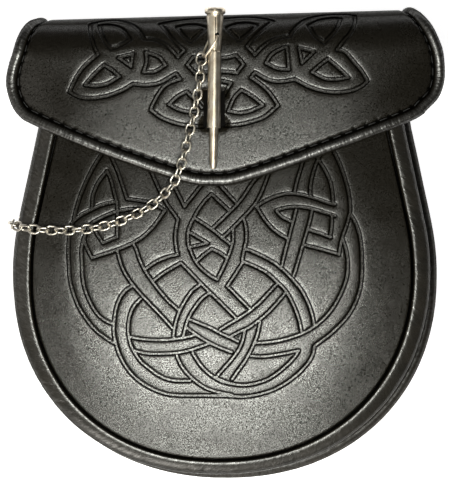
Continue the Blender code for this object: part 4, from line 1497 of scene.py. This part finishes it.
def add_peg_ring():
    """The wire ring through the peg's hole, drawn down to the left by the chain."""
    centre = along_peg(PEG_HOLE_ALONG)
    through = peg_hole_direction()
    points = [centre + through * out + RING_PULL * max(part, RING_HANG) for out, part in RING_SHAPE]
    line = smooth_line([points[-1], *points, points[0], points[1]], 8)[8:-8]
    reference = through.cross(RING_PULL).normalized()
    path = even_points(line, 81)[:-1]
    mesh = wire_loop("peg_ring", path, RING_WIRE / 2, reference)
    mesh.transform(Matrix.Translation(-BOX_MIDDLE * MILLIMETRE))
    new_piece("peg_ring_wire", mesh, STEEL, "peg_ring", 80)


# ---------------------------------------------------------------- the chain

WIRE = 1.12
LINK_LENGTH, LINK_WIDTH = 5.95, 4.7
LINK_PITCH = 3.85
RING_LENGTH, RING_WIDTH = 6.4, 5.4
LYING, STANDING = radians(14), radians(-64)  # how a link is turned on its side, by turns
STANDING_RISE = 0.35
RoutePoint = namedtuple("RoutePoint", "across up height")
CHAIN_ROUTE = (
    RoutePoint(-10.4, 78.8, 42.0),
    RoutePoint(-11.1, 70.0, 41.8),
    RoutePoint(-12.3, 62.2, 41.7),
    RoutePoint(-13.9, 54.0, 41.6),
    RoutePoint(-15.6, 47.1, 41.6),
    RoutePoint(-17.4, 39.3, 41.8),
    RoutePoint(-19.3, 32.6, 42.6),
    RoutePoint(-22.3, 25.5, 41.6),
    RoutePoint(-25.7, 21.4, 39.2),
    RoutePoint(-30.6, 17.0, 37.4),
    RoutePoint(-37.2, 12.8, 36.8),
    RoutePoint(-46.6, 8.7, 36.3),
    RoutePoint(-57.2, 6.0, 35.7),
    RoutePoint(-68.0, 5.1, 34.9),
    RoutePoint(-77.0, 5.2, 34.0),
    RoutePoint(-84.5, 5.8, 33.7),
    RoutePoint(-89.7, 6.8, 31.8),
    RoutePoint(-92.0, 7.6, 28.0),
    RoutePoint(-92.0, 8.0, 21.1),
)


def link_mesh(name, length, width, wire):
    """An oval ring of round wire in the XY plane, long along X."""
    radius, straight = (width - wire) / 2, (length - width) / 2
    path = []
    for step in range(28):
        angle = 2 * pi * (step + 0.5) / 28
        shift = straight if cos(angle) > 0 else -straight
        path.append(Vector((shift + radius * cos(angle), radius * sin(angle), 0.0)))
    return wire_loop(name, path, wire / 2, Vector((0, 0, 1)), 10)


def add_chain():
    """The links, each turned a quarter from the one before."""
    route = smooth_line(CHAIN_ROUTE, 12)
    length = lengths_along(route)[-1]
    count = round(length / LINK_PITCH) + 1
    centres = even_points(route, count)
    meshes = []
    for index, centre in enumerate(centres):
        along = (centres[min(index + 1, count - 1)] - centres[max(index - 1, 0)]).normalized()
        level = Vector((0, 0, 1)) if abs(along.z) < 0.8 else Vector((1, 0, 0))
        across = along.cross(level).normalized()
        turned = Matrix((along, across, along.cross(across))).transposed().to_4x4()
        uneven = radians(16) * noise.noise(Vector((index * 0.77, 2.0, 0.0)))
        turn = (STANDING if index % 2 else LYING) + uneven
        centre = centre + Vector((0, 0, STANDING_RISE * (index % 2)))
        if index:
            link = link_mesh("link", LINK_LENGTH, LINK_WIDTH, WIRE)
        else:
            link = link_mesh("link", RING_LENGTH, RING_WIDTH, WIRE)
        link.transform(Matrix.Translation(placed(centre)) @ turned @ Matrix.Rotation(turn, 4, "X"))
        meshes.append(link)
    new_piece("chain_links", joined("chain", meshes), BRIGHT_STEEL, "chain", 80)


ANCHOR_AT = Vector((-88.55, 8.0, 18.6))
ANCHOR_LEAN = radians(9)
ANCHOR_EYE_RADIUS, ANCHOR_WIRE = 2.4, 1.0
ANCHOR_FLANGE_RADIUS, ANCHOR_FLANGE = 3.2, 0.8
ANCHOR_PROFILE = (  # radius and height of the domed flange, from its middle to its back
    (0.0, ANCHOR_FLANGE),
    (1.4, ANCHOR_FLANGE),
    (2.6, 0.7 * ANCHOR_FLANGE),
    (ANCHOR_FLANGE_RADIUS, 0.3 * ANCHOR_FLANGE),
    (ANCHOR_FLANGE_RADIUS, 0.0),
    (0.0, 0.0),
)
ANCHOR_STEPS = 32


def add_chain_anchor():
    """The small eye on a round flange that holds the chain's far end."""
    out = Vector((-cos(ANCHOR_LEAN), 0.0, -sin(ANCHOR_LEAN)))
    stands_at = (Matrix.Translation(placed(ANCHOR_AT + out * CLEARANCE))
                 @ Matrix.Rotation(-radians(90) - ANCHOR_LEAN, 4, "Y"))
    flange = turned_mesh("flange", ANCHOR_PROFILE, ANCHOR_STEPS, stands_at)
    eye_at = ANCHOR_AT + out * (CLEARANCE + ANCHOR_FLANGE + ANCHOR_EYE_RADIUS - ANCHOR_WIRE / 4)
    size = 2 * ANCHOR_EYE_RADIUS + ANCHOR_WIRE
    eye = link_mesh("eye", size, size, ANCHOR_WIRE)
    eye.transform(Matrix.Translation(placed(eye_at)) @ Matrix.Rotation(radians(90), 4, "X"))
    mesh = joined("chain_anchor", [flange, eye])
    new_piece("chain_anchor_eye", mesh, BRIGHT_STEEL, "chain_anchor", 40)


# ---------------------------------------------------------------- stage, light and camera

FLOOR_REACH = 3.0
FLOOR_Z = -0.0001  # just below the sporran
WORLD_LIGHT = 0.05


def add_floor():
    mesh = bpy.data.meshes.new("floor")
    ends = ((-1, -1), (1, -1), (1, 1), (-1, 1))
    corners = [(x * FLOOR_REACH, y * FLOOR_REACH, 0) for x, y in ends]
    mesh.from_pydata(corners, [], [(0, 1, 2, 3)])
    mesh.materials.append(floor_material())
    floor = bpy.data.objects.new("floor", mesh)
    floor.location.z = FLOOR_Z
    bpy.context.scene.collection.objects.link(floor)


def add_light(box, colour):
    data = bpy.data.lights.new(box.name, "AREA")
    data.shape = "RECTANGLE"
    data.size, data.size_y = box.size
    data.energy = box.power
    data.color = colour
    light = bpy.data.objects.new(box.name, data)
    light.visible_camera = False
    light.location = box.place
    light.rotation_euler = Vector(box.aim).to_track_quat("-Z", "Y").to_euler()
    bpy.context.scene.collection.objects.link(light)


SoftBox = namedtuple("SoftBox", "name place aim size power")
STRAIGHT_DOWN = Vector((0.0, 0.0, -0.34))
ABOVE = (  # the groups of a fit of small lamps, merged and rounded
    SoftBox("bottom", (-0.01, -0.15, 0.34), STRAIGHT_DOWN, (0.16, 0.09), 0.52),
    SoftBox("middle", (-0.01, -0.06, 0.34), STRAIGHT_DOWN, (0.18, 0.05), 0.70),
    SoftBox("flap", (0.0, 0.04, 0.34), STRAIGHT_DOWN, (0.14, 0.06), 0.10),
    SoftBox("fold", (-0.02, 0.18, 0.34), STRAIGHT_DOWN, (0.08, 0.06), 0.05),
)
BESIDE = (  # large and low, for the gusset's outer face and the rolls
    SoftBox("front_left", (-0.16, -0.42, 0.26), (0.12, 0.37, -0.26), (0.28, 0.18), 0.75),
    SoftBox("front_right", (0.12, -0.42, 0.26), (-0.09, 0.37, -0.26), (0.28, 0.18), 0.15),
    SoftBox("left", (-0.55, 0.0, 0.45), (0.55, 0.0, -0.45), (0.35, 0.60), 0.40),
    SoftBox("low_left", (-0.35, -0.32, 0.12), (0.30, 0.24, -0.12), (0.25, 0.16), 0.10),
)
ABOVE_COLOUR = (1.0, 1.0, 0.92)
BESIDE_COLOUR = (1.0, 0.96, 0.88)


def add_lights():
    for boxes, colour in ((ABOVE, ABOVE_COLOUR), (BESIDE, BESIDE_COLOUR)):
        for box in boxes:
            add_light(box, colour)
    world = bpy.data.worlds.new("studio")
    world.use_nodes = True
    sky = world.node_tree.nodes["Background"]
    sky.inputs["Color"].default_value = (1.0, 1.0, 1.0, 1.0)
    sky.inputs["Strength"].default_value = WORLD_LIGHT
    bpy.context.scene.world = world
    bpy.context.scene.view_settings.view_transform = "Standard"


def add_camera():
    """Straight above, so that a pixel of the photograph is PIXEL wide at the front."""
    data = bpy.data.cameras.new("camera")
    data.sensor_width = SENSOR
    data.lens = SENSOR * CAMERA_DISTANCE / (PICTURE_HEIGHT * PIXEL)
    data.clip_end = 20.0
    camera = bpy.data.objects.new("camera", data)
    across = (PICTURE_WIDTH / 2 - PIXEL_ORIGIN[0]) * PIXEL
    up = (PIXEL_ORIGIN[1] - PICTURE_HEIGHT / 2) * PIXEL
    camera.location = placed((across, up, FRONT_Z + CAMERA_DISTANCE))
    bpy.context.scene.collection.objects.link(camera)
    bpy.context.scene.camera = camera


add_camera()
add_floor()
add_lights()
add_front_panel()
add_back_and_flap()
add_bindings()
add_gusset()
add_flap_stitches()
add_belt_loop("left", -LOOP_X)
add_belt_loop("right", LOOP_X)
add_receiver_tube()
add_peg()
add_peg_ring()
add_chain()
add_chain_anchor()
